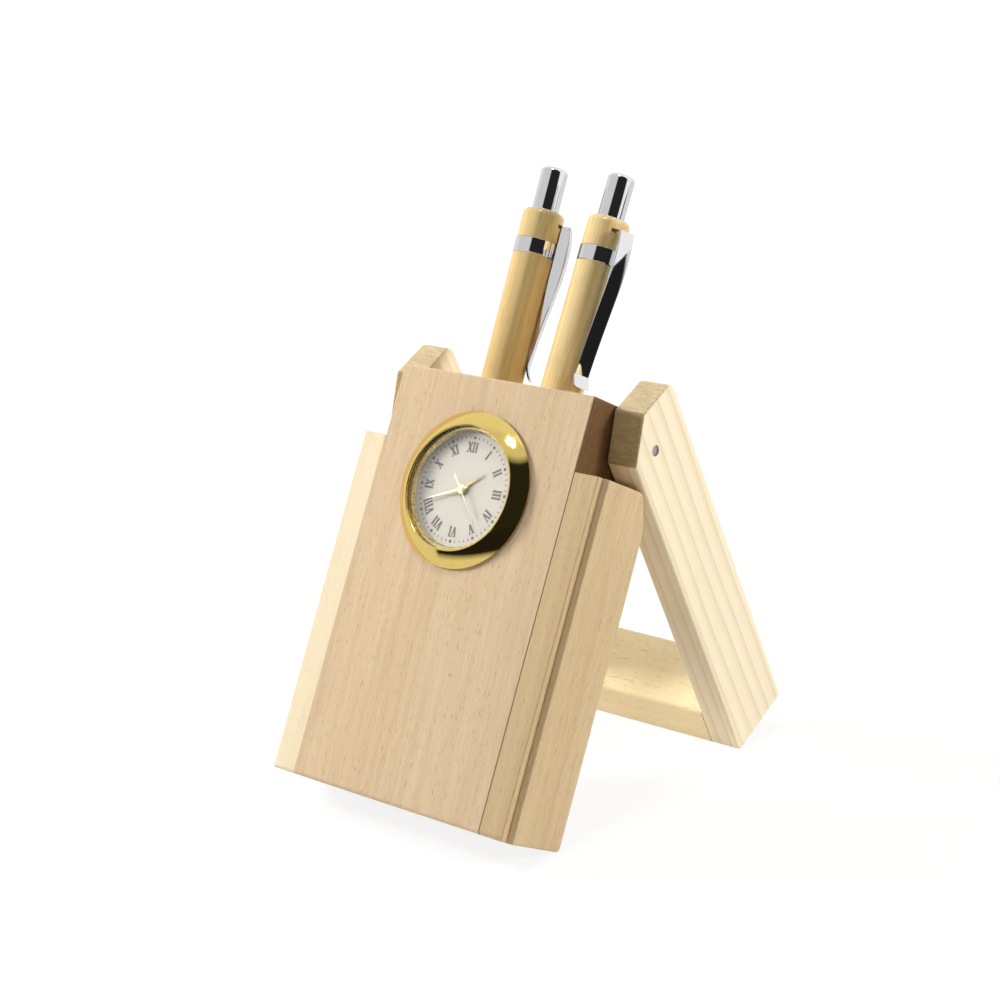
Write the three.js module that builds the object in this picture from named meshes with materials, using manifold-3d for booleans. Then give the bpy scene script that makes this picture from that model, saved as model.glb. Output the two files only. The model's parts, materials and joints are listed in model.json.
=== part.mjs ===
// Folding desk stand in wood: a leaning board with a clock set into its face and two
// ball pens in bores behind it, propped by a hinged U-shaped frame. Millimetres, +Z up,
// the face looks along -Y, the origin is on the table under the middle of the whole stand.
import * as THREE from 'three';
import { mergeVertices } from 'three/addons/utils/BufferGeometryUtils.js';
import Module from 'manifold-3d';

const wasm = await Module();
wasm.setup();

// Shared allowances
const GAP = 0.3; // air between seated pieces
const RUN = 0.12; // radial running clearance of turned pieces
const OVERRUN = 1.0; // how far a cutting solid passes the face it leaves
const EASE = 0.6; // sanded edge of every board
const SIDES = { large: 40, medium: 24, small: 14, tiny: 10 };

// The leaning board: x right, y from the face to the back, z up the board
const board = { width: 62, thickness: 22, head: 19.2 };
const cheek = { thickness: 9, height: 90.3, cutHeight: 8.4 };
const rabbet = { width: 1.9, depth: 2.2 };
const boardHeight = cheek.height + board.head;

// The hinge and the frame: y from the legs' front to their back, z up the legs from the pin
const openAngle = THREE.MathUtils.degToRad(53.2);
const pin = { depth: 17.2, aboveShoulder: 10.9, radius: 1.3, length: 21 };
const leg = {
  thickness: 9, side: 0.4, front: 8.3, depth: 22, above: 11.2, below: 99.5, cutDepth: 8.7, cutHeight: 9.5,
};
const crossbar = { height: 12.3 };

// The clock insert: x right, y up the board, z out of the board's face
const clock = { height: 80.4, side: -0.7, recessRadius: 17.6, recessDepth: 7.4 };
const bezel = { radius: 20.2, opening: 15.9, rise: 3.5, lip: 0.6, edge: 0.12, foot: 0.3, slopeSteps: 7 };
// Where the two slopes of the bezel's domed face would meet, as shares of its width and height
const bezelShares = { across: 0.616, down: 0.245 };
const lens = { radius: 16.3, thickness: 0.9 };
const casing = { radius: 17.0, wall: 1.5, depth: 6.7, floor: 0.6 };
const gasket = { thickness: 0.3, web: 0.12, height: 4.6, ribHeight: 0.9, ribs: 2 };
const dial = { radius: 15.1, thickness: 0.4, height: 0.5, hole: 1.45 };
const dialRing = { inner: 14.7, edge: 0.25, flange: 0.3, flangeRadius: 16.8 };
const layer = { pitch: 0.7, wheel: 0.3, plate: 0.4 };
const movement = { radius: 15.2 };
const gear = { hour: 4.0, large: 4.3, second: 4.0, pinion: 0.7, minutePinion: 0.8, cannon: 1.0, mesh: 0.15 };
const teeth = { large: 24, small: 20, cannon: 8, pinion: 6 };
const toothShares = { depth: 0.22, rim: 0.45 };
const arbor = { second: 0.28, centre: 0.62, hourBore: 0.9, hour: 1.2, stem: 0.45 };
const motor = {
  magnet: 1.25, plateWidth: 5.2, plateStart: 3.0, coilOut: 9.6, coilRadius: 1.05, coilLength: 11,
};
const bearings = {
  stem: THREE.MathUtils.degToRad(-20),
  third: THREE.MathUtils.degToRad(132),
  motor: THREE.MathUtils.degToRad(52),
};
const circuit = { x: -9.6, y: -3.4, width: 6.6, height: 5, thickness: 0.4 };
const crystal = { radius: 0.7, length: 4.6 };
const cell = { radius: 4.7, thickness: 2.4, margin: 0.4 };
const hatch = { thickness: 0.35, overlap: 1.0 };
const knob = { radius: 1.9, height: 0.35, knurls: 16 };
const hourHand = { length: 7.6, width: 1.25, tail: 1.9, lift: 0.75, hub: 1.5 };
const minuteHand = { length: 10.6, width: 1.0, tail: 2.1, lift: 1.1, hub: 1.2 };
const secondHand = { length: 12.2, width: 0.45, tail: 4.4, lift: 1.45, hub: 0.8 };
const handThickness = 0.2;
const handShares = { shoulder: 0.18, tailWidth: 0.3 };
const clockTime = { hour: 1, minute: 41.3, second: 23 };

// The pens: z along the pen from its nose, x towards its clip
const penStand = { spread: 9.8, splay: THREE.MathUtils.degToRad(1), depth: 14.2, sunk: 79 };
const bore = { radius: 5.9, pilotRadius: 1.5, pilotDepth: 4.8 };
const barrel = { radius: 5.5, bore: 3.8, length: 96.3 };
const nose = {
  length: 18, tip: 1.6, hole: 1.15, chamber: 2.7, seat: 8.5, neck: 4.3, neckLength: 6, steps: 5,
};
const band = { height: 4.1, proud: 0.12 };
const cap = { height: 8.2, round: 1.7, roundSteps: 3, slotDepth: 1.4 };
const plunger = { radius: 3.55, exposed: 11.5, inside: 12, round: 1.0, roundSteps: 2, travel: 5 };
const refill = {
  radius: 1.5, tip: 0.5, tipLength: 3, neck: 1.0, retract: 1.2, collar: 2.3, collarLength: 1.5,
};
const cam = { radius: 3.3, length: 5.5 };
const spring = { wire: 0.28, radius: 2.15, length: 9, turns: 7, stepsPerTurn: 8, wireSides: 5 };
const clip = {
  width: 4.9, thickness: 0.5, root: 0.9, belowTop: 3.2, bow: 3.36, wallGap: 0.15, touchAbove: 6.2,
  endAbove: 3.2, endOut: 1.4,
};
// The clip's outline from its top down: share of the way up from the touching point, share of the bow
const clipShares = [[1, 0.745], [0.921, 0.917], [0.837, 0.99], [0.758, 1], [0.679, 0.958],
  [0.6, 0.875], [0.521, 0.765], [0.442, 0.655], [0.363, 0.545], [0.23, 0.375]];
const clipTurn = { left: THREE.MathUtils.degToRad(29), right: THREE.MathUtils.degToRad(-13) };

// Colours and finishes
const finish = (color, roughness, metalness = 0, more = {}) => () =>
  new THREE.MeshStandardMaterial({ color, roughness, metalness, ...more });
const beech = finish(0xd4bc98, 0.6);
const paleBeech = finish(0xf0dfbb, 0.62);
const bamboo = finish(0xdcb878, 0.35);
const gold = finish(0xf0c860, 0.12, 1);
const chrome = finish(0xdcdce0, 0.08, 1);
const steel = finish(0xa8a8ac, 0.3, 1);
const brass = finish(0xc9a24a, 0.3, 1);
const copper = finish(0xb06a38, 0.35, 1);
const dialPaper = finish(0xe6e0d4, 0.7);
const clearLens = finish(0xf4f6f6, 0.02, 0, { transparent: true, opacity: 0.3 });
const rubber = finish(0x3a3a3a, 0.8);
const blackPlastic = finish(0x1c1c1e, 0.5);
const greenBoard = finish(0x2c5a3c, 0.5);
const whitePlastic = finish(0xe8e6e0, 0.45);
const inkTube = finish(0x3a4a78, 0.35);

// Solids for cutting and joining
function solid(geometry) {
  const bare = geometry.clone();
  bare.deleteAttribute('normal');
  bare.deleteAttribute('uv');
  const welded = mergeVertices(bare);
  const corners = [...welded.index.array];
  const faces = [];
  for (let i = 0; i < corners.length; i += 3) {
    const face = corners.slice(i, i + 3);
    if (new Set(face).size === face.length) faces.push(...face);
  }
  return new wasm.Manifold(new wasm.Mesh({
    numProp: 3,
    vertProperties: new Float32Array(welded.attributes.position.array),
    triVerts: new Uint32Array(faces),
  }));
}

function geometryOf(manifold) {
  const mesh = manifold.getMesh();
  const geometry = new THREE.BufferGeometry();
  geometry.setAttribute('position', new THREE.BufferAttribute(mesh.vertProperties, mesh.numProp));
  geometry.setIndex(new THREE.BufferAttribute(mesh.triVerts, 1));
  geometry.computeVertexNormals();
  return geometry;
}

const cut = (stock, ...tools) =>
  geometryOf(tools.reduce((rest, tool) => rest.subtract(solid(tool)), solid(stock)));

const join = (first, ...others) =>
  geometryOf(others.reduce((whole, piece) => whole.add(solid(piece)), solid(first)));

// Outlines with every corner cut back by the same ease along both edges
function easedCorners(points, ease) {
  return points.flatMap(([x, y], i) => {
    const before = points[(i + points.length - 1) % points.length];
    const after = points[(i + 1) % points.length];
    return [before, after].map(([toX, toY]) => {
      const share = ease / Math.hypot(toX - x, toY - y);
      return [x + (toX - x) * share, y + (toY - y) * share];
    });
  });
}

const outlineShape = (points) => new THREE.Shape(points.map(([x, y]) => new THREE.Vector2(x, y)));

// A board with its outline in the y-z plane, running out along x; its ends may be eased too
function sideBoard(outline, thickness, endEase = 0) {
  const geometry = new THREE.ExtrudeGeometry(outlineShape(easedCorners(outline, EASE)), {
    depth: thickness - 2 * endEase, bevelEnabled: endEase > 0, bevelThickness: endEase,
    bevelSize: endEase, bevelOffset: -endEase, bevelSegments: 1, steps: 1, curveSegments: 1,
  });
  const turn = new THREE.Matrix4().makeBasis(
    new THREE.Vector3(0, 1, 0), new THREE.Vector3(0, 0, 1), new THREE.Vector3(1, 0, 0));
  return geometry.translate(0, 0, endEase).applyMatrix4(turn);
}

// A block given by its two corners
function blockBetween([x0, y0, z0], [x1, y1, z1]) {
  return new THREE.BoxGeometry(x1 - x0, y1 - y0, z1 - z0)
    .translate((x0 + x1) / 2, (y0 + y1) / 2, (z0 + z1) / 2);
}

// A round bar standing along z on its bottom
function rod(radius, height, bottom = 0, sides = SIDES.small) {
  return new THREE.CylinderGeometry(radius, radius, height, sides)
    .rotateX(Math.PI / 2).translate(0, 0, bottom + height / 2);
}

// A closed profile of [radius, z] points, anticlockwise, turned about z
function turned(profile, sides = SIDES.large) {
  const points = profile.map(([radius, z]) => new THREE.Vector2(radius, z));
  return new THREE.LatheGeometry(points, sides).rotateX(Math.PI / 2);
}

function tube(outer, inner, height, bottom = 0, sides = SIDES.large) {
  const top = bottom + height;
  return turned([[inner, bottom], [outer, bottom], [outer, top], [inner, top], [inner, bottom]], sides);
}

// Points along a quarter of an ellipse about its centre, between two quarters of a turn
function quarter(centre, radii, from, to, steps) {
  return Array.from({ length: steps + 1 }, (_, i) => {
    const angle = (Math.PI / 2) * (from + ((to - from) * i) / steps);
    return [centre[0] + radii[0] * Math.cos(angle), centre[1] + radii[1] * Math.sin(angle)];
  });
}

// A toothed wheel standing on its bottom, with a bore if one is given
function gearWheel(radius, count, height, bottom, hole = 0) {
  const root = radius * (1 - toothShares.depth);
  const pitch = (2 * Math.PI) / count;
  const corners = [[root, 0], [radius, (1 - toothShares.rim) / 2], [radius, toothShares.rim],
    [root, (1 + toothShares.rim) / 2]];
  const outline = Array.from({ length: count }, (_, i) => corners.map(([reach, share]) =>
    [reach * Math.cos(pitch * (i + share)), reach * Math.sin(pitch * (i + share))])).flat();
  const shape = outlineShape(outline);
  if (hole > 0) shape.holes.push(new THREE.Path().absarc(0, 0, hole, 0, 2 * Math.PI, true));
  return new THREE.ExtrudeGeometry(shape, { depth: height, bevelEnabled: false, curveSegments: 6 })
    .translate(0, 0, bottom);
}

function named(name, geometry, finished) {
  const mesh = new THREE.Mesh(geometry, finished());
  mesh.name = name;
  return mesh;
}

function groupOf(...pieces) {
  const group = new THREE.Group();
  group.add(...pieces);
  return group;
}

// The board with the clock's recess, the pens' bores and the pins' holes
function makeBoard() {
  const half = board.width / 2;
  const outline = [[0, 0], [board.thickness, 0], [board.thickness, boardHeight], [0, boardHeight]];
  const stock = sideBoard(outline, board.width).translate(-half, 0, 0);
  const recess = rod(clock.recessRadius, clock.recessDepth + OVERRUN, -clock.recessDepth, SIDES.large)
    .rotateX(Math.PI / 2).translate(clock.side, 0, clock.height);
  const pinHoles = [-1, 1].map((side) => rod(pin.radius + RUN, pinDepth() + GAP + OVERRUN)
    .rotateY((side * Math.PI) / 2)
    .translate(side * (half - pinDepth() - GAP), pin.depth, pinHeight()));
  return named('body_board', cut(stock, recess, ...pinHoles, ...penBores()), beech);
}

const pinHeight = () => cheek.height + pin.aboveShoulder;
const pinDepth = () => pin.length - leg.thickness - leg.side;

// Each pen stands in a bore along its own axis, with a pilot hole under its point
function penBores() {
  return [-1, 1].flatMap((side) => [
    rod(bore.radius, penStand.sunk + GAP + board.head, -GAP, SIDES.medium),
    rod(bore.pilotRadius, bore.pilotDepth + OVERRUN, -GAP - bore.pilotDepth, SIDES.small),
  ].map((tool) => tool.rotateY(side * penStand.splay).translate(...penFoot(side))));
}

function penFoot(side) {
  const drift = penStand.sunk * Math.tan(penStand.splay);
  return [side * (penStand.spread - drift), penStand.depth, boardHeight - penStand.sunk];
}

// The cheek's top ends where the leg's front face comes to rest on its back corner
const restDepth = () => pin.depth
  + (pin.aboveShoulder * Math.sin(openAngle) - leg.front - GAP) / Math.cos(openAngle);

function makeCheek(name, side) {
  const outline = [[0, 0], [board.thickness, 0], [board.thickness, cheek.height - cheek.cutHeight],
    [restDepth(), cheek.height], [0, cheek.height]];
  const inner = board.width / 2;
  const outer = inner + cheek.thickness;
  const stock = sideBoard(outline, cheek.thickness + EASE, EASE).translate(inner - EASE, 0, 0);
  const trim = blockBetween([inner - EASE - OVERRUN, -OVERRUN, -OVERRUN],
    [inner, board.thickness + OVERRUN, cheek.height + OVERRUN]);
  const step = blockBetween([outer - rabbet.width, -OVERRUN, -OVERRUN],
    [outer + OVERRUN, rabbet.depth, cheek.height + OVERRUN]);
  const right = cut(stock, trim, step);
  return named(name, side < 0 ? mirroredInX(right) : right, beech);
}

function mirroredInX(geometry) {
  geometry.scale(-1, 1, 1);
  const corners = geometry.index.array;
  for (let i = 0; i < corners.length; i += 3) {
    [corners[i], corners[i + 1]] = [corners[i + 1], corners[i]];
  }
  geometry.computeVertexNormals();
  return geometry;
}

function makePin(name, side) {
  const mesh = named(name, rod(pin.radius, pin.length - GAP).rotateY((side * Math.PI) / 2), steel);
  mesh.position.set(side * (board.width / 2 - pinDepth()), pin.depth, pinHeight());
  return mesh;
}

// The frame: two legs with their tops cut to clear the shoulders, and a bar between their feet
function makeLeg(name, side) {
  const back = leg.depth - leg.front;
  const outline = [[-leg.front, -leg.below], [back, -leg.below], [back, leg.above],
    [leg.cutDepth - leg.front, leg.above], [-leg.front, leg.above - leg.cutHeight]];
  const hole = rod(pin.radius + RUN, leg.thickness + 2 * OVERRUN, -OVERRUN).rotateY(Math.PI / 2);
  const mesh = named(name, cut(sideBoard(outline, leg.thickness, EASE), hole), paleBeech);
  const inner = board.width / 2 + leg.side;
  mesh.position.x = side < 0 ? -inner - leg.thickness : inner;
  return mesh;
}

function makeCrossbar() {
  const width = board.width + 2 * leg.side;
  const back = leg.depth - leg.front;
  const outline = [[-leg.front, 0], [back, 0], [back, crossbar.height], [-leg.front, crossbar.height]];
  const mesh = named('crossbar', sideBoard(outline, width), paleBeech);
  mesh.position.set(-width / 2, 0, -leg.below);
  return mesh;
}

function makeFrame() {
  const frame = groupOf(makeLeg('leg_left', -1), makeLeg('leg_right', 1), makeCrossbar());
  frame.position.set(0, pin.depth, pinHeight());
  frame.rotation.x = openAngle;
  return frame;
}

// Heights inside the clock, outwards from the board's face
const lensBottom = bezel.rise - bezel.lip - lens.thickness;
const floorTop = casing.floor - casing.depth;
const innerRadius = casing.radius - casing.wall;
const dialBack = dial.height - dial.thickness;
const level = (step) => dialBack - layer.pitch * step;
const levels = { hour: 1, minute: 2, plate: 3, centre: 4, third: 5, second: 6, stator: 7, bridge: 8 };
const place = (reach, angle) => [reach * Math.cos(angle), reach * Math.sin(angle)];
const stemPlace = () => place(gear.hour + gear.minutePinion + gear.mesh, bearings.stem);
const thirdPlace = () => place(gear.large + gear.pinion + gear.mesh, bearings.third);
const rotorPlace = () => place(gear.second + gear.pinion + gear.mesh, bearings.motor);
const cellPlace = () => [0, cell.radius + hatch.overlap + cell.margin - innerRadius];

// A domed ring that slopes outwards from its opening, with a lip over the lens
function makeBezel() {
  const lipBottom = lensBottom + lens.thickness + GAP / 2;
  const foot = GAP + bezel.foot;
  const inner = bezel.opening + bezel.edge;
  const meeting = [inner + (bezel.radius - inner) * bezelShares.across,
    bezel.rise - (bezel.rise - foot) * bezelShares.down];
  const slope = new THREE.QuadraticBezierCurve(new THREE.Vector2(bezel.radius, foot),
    new THREE.Vector2(...meeting), new THREE.Vector2(inner, bezel.rise));
  const lensRoom = lens.radius + GAP / 2;
  const casingRoom = casing.radius + GAP / 2;
  const profile = [[casingRoom, GAP], [bezel.radius - bezel.edge, GAP],
    ...slope.getPoints(bezel.slopeSteps).map((point) => point.toArray()),
    [bezel.opening, bezel.rise - bezel.edge], [bezel.opening, lipBottom], [lensRoom, lipBottom],
    [lensRoom, lensBottom], [casingRoom, lensBottom]];
  return named('clock_bezel', turned([...profile, profile[0]]), gold);
}

function makeLens() {
  return named('clock_lens', rod(lens.radius, lens.thickness, lensBottom, SIDES.large), clearLens);
}

// The cup that holds the movement, open at the back for the cell and the setting stem
function makeCasing() {
  const rim = flangeBottom() - RUN;
  const cup = turned([[0, -casing.depth], [casing.radius, -casing.depth], [casing.radius, rim],
    [innerRadius, rim], [innerRadius, floorTop], [0, floorTop]]);
  const under = -casing.depth - OVERRUN;
  const cellHole = rod(cell.radius + GAP, casing.floor + 2 * OVERRUN, under, SIDES.medium);
  const hatchSeat = rod(hatchRadius() + GAP, hatch.thickness + OVERRUN, under, SIDES.medium);
  const stemHole = rod(arbor.stem + RUN, casing.floor + 2 * OVERRUN, under);
  return named('clock_case', cut(cup, cellHole.translate(...cellPlace(), 0),
    hatchSeat.translate(...cellPlace(), 0), stemHole.translate(...stemPlace(), 0)), blackPlastic);
}

const hatchRadius = () => cell.radius + hatch.overlap;

function makeHatch() {
  const disc = rod(hatchRadius(), hatch.thickness - RUN, -casing.depth, SIDES.medium);
  return named('battery_hatch', disc.translate(...cellPlace(), 0), blackPlastic);
}

function makeCell() {
  const bottom = -casing.depth + hatch.thickness;
  return named('battery_cell', rod(cell.radius, cell.thickness, bottom, SIDES.medium)
    .translate(...cellPlace(), 0), steel);
}

// A ribbed sleeve that grips the recess
function makeGasket() {
  const inner = casing.radius + GAP / 2 - RUN / 2;
  const web = inner + gasket.web;
  const bottom = -casing.depth + casing.floor;
  const pitch = gasket.height / gasket.ribs;
  const ribs = Array.from({ length: gasket.ribs }, (_, i) => {
    const foot = bottom + pitch * i + (pitch - gasket.ribHeight) / 2;
    return [[web, foot], [inner + gasket.thickness, foot + gasket.ribHeight / 2],
      [web, foot + gasket.ribHeight]];
  }).flat();
  const top = bottom + gasket.height;
  return named('clock_gasket', turned([[inner, bottom], [web, bottom], ...ribs, [web, top], [inner, top],
    [inner, bottom]]), rubber);
}

function makeDial() {
  return named('clock_dial', tube(dial.radius, dial.hole, dial.thickness, dialBack), dialPaper);
}

const flangeBottom = () => lensBottom - GAP / 2 - dialRing.flange;

// A bright sloping ring between the dial and the lens, with a flange over the casing's rim
function makeDialRing() {
  const bottom = dial.height + RUN;
  const top = lensBottom - GAP / 2;
  const outer = innerRadius - RUN;
  return named('dial_ring', turned([[dialRing.inner, bottom], [outer, bottom], [outer, flangeBottom()],
    [dialRing.flangeRadius, flangeBottom()], [dialRing.flangeRadius, top], [outer - dialRing.edge, top],
    [dialRing.inner, bottom + dialRing.edge], [dialRing.inner, bottom]]), gold);
}

// A slim tapered hand with a round hub and a short tail, made pointing up the board
function makeHand(name, hand, hole, turn, finished) {
  const tailHalf = hand.width * handShares.tailWidth;
  const shoulder = hand.length * handShares.shoulder;
  const shape = outlineShape([[-tailHalf, -hand.tail], [tailHalf, -hand.tail], [hand.width / 2, shoulder],
    [0, hand.length], [-hand.width / 2, shoulder]]);
  const blade = new THREE.ExtrudeGeometry(shape, { depth: handThickness, bevelEnabled: false });
  const whole = join(blade, rod(hand.hub, handThickness));
  const bored = hole > 0 ? cut(whole, rod(hole, handThickness + 2 * OVERRUN, -OVERRUN)) : whole;
  return named(name, bored.translate(0, 0, hand.lift).rotateZ(-2 * Math.PI * turn), finished);
}

function makeHands() {
  const hours = (clockTime.hour + clockTime.minute / 60) / 12;
  return [
    makeHand('hour_hand', hourHand, arbor.centre + RUN, hours, gold),
    makeHand('minute_hand', minuteHand, arbor.second + RUN, clockTime.minute / 60, gold),
    makeHand('second_hand', secondHand, 0, clockTime.second / 60, gold),
  ];
}

function makeHourWheel() {
  const bottom = level(levels.hour);
  const toothed = gearWheel(gear.hour, teeth.small, layer.wheel, bottom, arbor.hourBore);
  const pipe = tube(arbor.hour, arbor.hourBore, hourHand.lift - RUN - bottom, bottom, SIDES.small);
  return named('hour_wheel', join(toothed, pipe), brass);
}

// The minute wheel's stem reaches through the movement to the setting knob at the back
function makeMinuteWheel() {
  const bottom = level(levels.minute);
  const radius = gear.hour + gear.minutePinion - gear.cannon;
  const toothed = gearWheel(radius, teeth.small, layer.wheel, bottom);
  const top = level(levels.hour) + layer.wheel;
  const pinion = gearWheel(gear.minutePinion, teeth.pinion, top - bottom, bottom);
  const end = -casing.depth - knobGap() - knob.height;
  const stem = rod(arbor.stem, bottom + layer.wheel / 2 - end, end, SIDES.tiny);
  return named('minute_wheel', join(toothed, pinion, stem).translate(...stemPlace(), 0), brass);
}

const knobGap = () => (clock.recessDepth - casing.depth - knob.height) / 2;

function makeKnob() {
  const bottom = -casing.depth - knobGap() - knob.height;
  const disc = gearWheel(knob.radius, knob.knurls, knob.height, bottom, arbor.stem + RUN);
  return named('setting_knob', disc.translate(...stemPlace(), 0), blackPlastic);
}

function makeCentreWheel() {
  const bottom = level(levels.centre);
  const hole = arbor.second + RUN;
  const pipe = tube(arbor.centre, hole, minuteHand.lift - RUN - bottom, bottom, SIDES.small);
  const cannon = gearWheel(gear.cannon, teeth.cannon, layer.wheel, level(levels.minute), hole);
  const toothed = gearWheel(gear.large, teeth.large, layer.wheel, bottom, hole);
  return named('centre_wheel', join(pipe, cannon, toothed), brass);
}

function makeThirdWheel() {
  const bottom = level(levels.third);
  const toothed = gearWheel(gear.large, teeth.large, layer.wheel, bottom);
  const pinion = gearWheel(gear.pinion, teeth.pinion, level(levels.centre) + layer.wheel - bottom, bottom);
  const pivotTop = level(levels.plate) - RUN;
  const pivotBottom = level(levels.bridge) + layer.wheel + RUN;
  const pivot = rod(arbor.second, pivotTop - pivotBottom, pivotBottom, SIDES.tiny);
  return named('third_wheel', join(toothed, pinion, pivot).translate(...thirdPlace(), 0), brass);
}

function makeSecondWheel() {
  const bottom = level(levels.second);
  const toothed = gearWheel(gear.second, teeth.large, layer.wheel, bottom);
  const pinion = gearWheel(gear.pinion, teeth.pinion, level(levels.third) + layer.wheel - bottom, bottom);
  const shaft = rod(arbor.second, secondHand.lift - RUN - bottom, bottom, SIDES.tiny);
  return named('second_wheel', join(toothed, pinion, shaft), brass);
}

function makeRotor() {
  const bottom = level(levels.stator);
  const pinion = gearWheel(gear.pinion, teeth.pinion, level(levels.second) + layer.wheel - bottom, bottom);
  const magnet = rod(motor.magnet, layer.wheel, bottom);
  return named('rotor', join(magnet, pinion).translate(...rotorPlace(), 0), steel);
}

// The motor's plate, with a hole round the rotor's magnet, ends beside the coil
function makeStator() {
  const bottom = level(levels.stator);
  const end = motor.coilOut - motor.coilRadius - GAP;
  const plate = blockBetween([motor.plateStart, -motor.plateWidth / 2, bottom],
    [end, motor.plateWidth / 2, bottom + layer.wheel]);
  const magnetHole = rod(motor.magnet + RUN, layer.wheel + 2 * OVERRUN, bottom - OVERRUN)
    .translate(gear.second + gear.pinion + gear.mesh, 0, 0);
  return named('motor_stator', cut(plate, magnetHole).rotateZ(bearings.motor), steel);
}

function makeCoil() {
  const top = level(levels.plate) - GAP;
  const winding = rod(motor.coilRadius, motor.coilLength, -motor.coilLength / 2).rotateX(Math.PI / 2)
    .translate(motor.coilOut, 0, top - motor.coilRadius).rotateZ(bearings.motor);
  return named('motor_coil', winding, copper);
}

function makeCircuitBoard() {
  const top = level(levels.plate) - GAP;
  return named('circuit_board', blockBetween(
    [circuit.x - circuit.width / 2, circuit.y - circuit.height / 2, top - circuit.thickness],
    [circuit.x + circuit.width / 2, circuit.y + circuit.height / 2, top]), greenBoard);
}

function makeCrystal() {
  const top = level(levels.plate) - GAP - circuit.thickness - RUN;
  return named('quartz_crystal', rod(crystal.radius, crystal.length, -crystal.length / 2, SIDES.tiny)
    .rotateX(Math.PI / 2).translate(circuit.x, circuit.y, top - crystal.radius), steel);
}

function makeMainPlate() {
  const disc = rod(movement.radius, layer.plate, level(levels.plate), SIDES.large);
  const through = (radius) => rod(radius, layer.plate + 2 * OVERRUN, level(levels.plate) - OVERRUN);
  return named('main_plate', cut(disc, through(arbor.centre + RUN),
    through(arbor.stem + RUN).translate(...stemPlace(), 0)), whitePlastic);
}

function makeBridge() {
  const disc = rod(movement.radius, layer.wheel, level(levels.bridge), SIDES.large);
  const through = (radius, sides) =>
    rod(radius, layer.wheel + 2 * OVERRUN, level(levels.bridge) - OVERRUN, sides);
  return named('back_bridge', cut(disc, through(arbor.stem + RUN).translate(...stemPlace(), 0),
    through(cell.radius + GAP, SIDES.medium).translate(...cellPlace(), 0)), whitePlastic);
}

function makeClock() {
  const insert = groupOf(makeBezel(), makeLens(), makeCasing(), makeGasket(), makeDial(), makeDialRing(),
    ...makeHands(), makeMainPlate(), makeHourWheel(), makeMinuteWheel(), makeCentreWheel(),
    makeThirdWheel(), makeSecondWheel(), makeRotor(), makeStator(), makeCoil(), makeCircuitBoard(),
    makeCrystal(), makeBridge(), makeCell(), makeHatch(), makeKnob());
  insert.position.set(clock.side, 0, clock.height);
  insert.rotation.x = Math.PI / 2;
  return insert;
}

// Heights along a pen from its nose
const barrelTop = nose.length + barrel.length;
const bandTop = barrelTop + band.height;
const capTop = bandTop + cap.height;
const penTop = capTop + plunger.exposed;

function makeNose(name) {
  const wall = Array.from({ length: nose.steps + 1 }, (_, i) => {
    const share = i / nose.steps;
    const swell = Math.sin((share * Math.PI) / 2);
    return [nose.tip + (barrel.radius - nose.tip) * swell, nose.length * share];
  });
  const neckTop = nose.length + nose.neckLength;
  const profile = [[nose.hole, 0], ...wall, [nose.neck, nose.length], [nose.neck, neckTop],
    [nose.chamber, neckTop], [nose.chamber, nose.seat], [nose.hole, nose.seat]];
  return named(name, turned([...profile, profile[0]], SIDES.medium), steel);
}

function makeBarrel(name) {
  const bottom = nose.length + GAP;
  const shoulder = nose.length + nose.neckLength + GAP;
  const neckRoom = nose.neck + RUN;
  return named(name, turned([[neckRoom, bottom], [barrel.radius, bottom], [barrel.radius, barrelTop],
    [barrel.bore, barrelTop], [barrel.bore, shoulder], [neckRoom, shoulder], [neckRoom, bottom]],
  SIDES.medium), bamboo);
}

function makeBand(name) {
  return named(name, tube(barrel.radius + band.proud, barrel.bore, band.height - GAP, barrelTop + GAP,
    SIDES.medium), chrome);
}

// The cap has a rounded shoulder and a slot in its side for the clip's root
function makeCap(name) {
  const bottom = bandTop + GAP;
  const shoulder = quarter([barrel.radius - cap.round, capTop - cap.round], [cap.round, cap.round], 0, 1,
    cap.roundSteps);
  const hole = plunger.radius + RUN;
  const profile = [[hole, bottom], [barrel.radius, bottom], ...shoulder, [hole, capTop]];
  const slot = blockBetween(
    [barrel.radius - cap.slotDepth, -clip.width / 2 - GAP, clipTop - clip.thickness - GAP],
    [barrel.radius + OVERRUN, clip.width / 2 + GAP, clipTop + GAP]);
  return named(name, cut(turned([...profile, profile[0]], SIDES.medium), slot), bamboo);
}

function makePlunger(name) {
  const top = quarter([plunger.radius - plunger.round, penTop - plunger.round],
    [plunger.round, plunger.round], 0, 1, plunger.roundSteps);
  const bottom = capTop - plunger.inside;
  return named(name, turned([[0, bottom], [plunger.radius, bottom], ...top, [0, penTop]], SIDES.medium),
    chrome);
}

const camBottom = capTop - plunger.inside - GAP - cam.length;

function makeCam(name) {
  return named(name, rod(cam.radius, cam.length, camBottom), whitePlastic);
}

// The refill's collar rides on the spring, which is drawn at its pressed length
function makeRefill(name) {
  const shoulder = nose.seat + plunger.travel + GAP;
  const collarBottom = nose.seat + spring.length + plunger.travel + 2 * GAP;
  const collarTop = collarBottom + refill.collarLength;
  const top = camBottom - GAP;
  const tipTop = refill.retract + refill.tipLength;
  return named(name, turned([[0, refill.retract], [refill.tip, refill.retract + refill.tip],
    [refill.tip, tipTop], [refill.neck, tipTop + refill.neck - refill.tip], [refill.neck, shoulder],
    [refill.radius, shoulder], [refill.radius, collarBottom], [refill.collar, collarBottom],
    [refill.collar, collarTop], [refill.radius, collarTop], [refill.radius, top], [0, top]],
  SIDES.small), inkTube);
}

class Helix extends THREE.Curve {
  getPoint(share, target = new THREE.Vector3()) {
    const angle = 2 * Math.PI * spring.turns * share;
    const rise = nose.seat + GAP + spring.wire + (spring.length - 2 * spring.wire) * share;
    return target.set(spring.radius * Math.cos(angle), spring.radius * Math.sin(angle), rise);
  }
}

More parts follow.
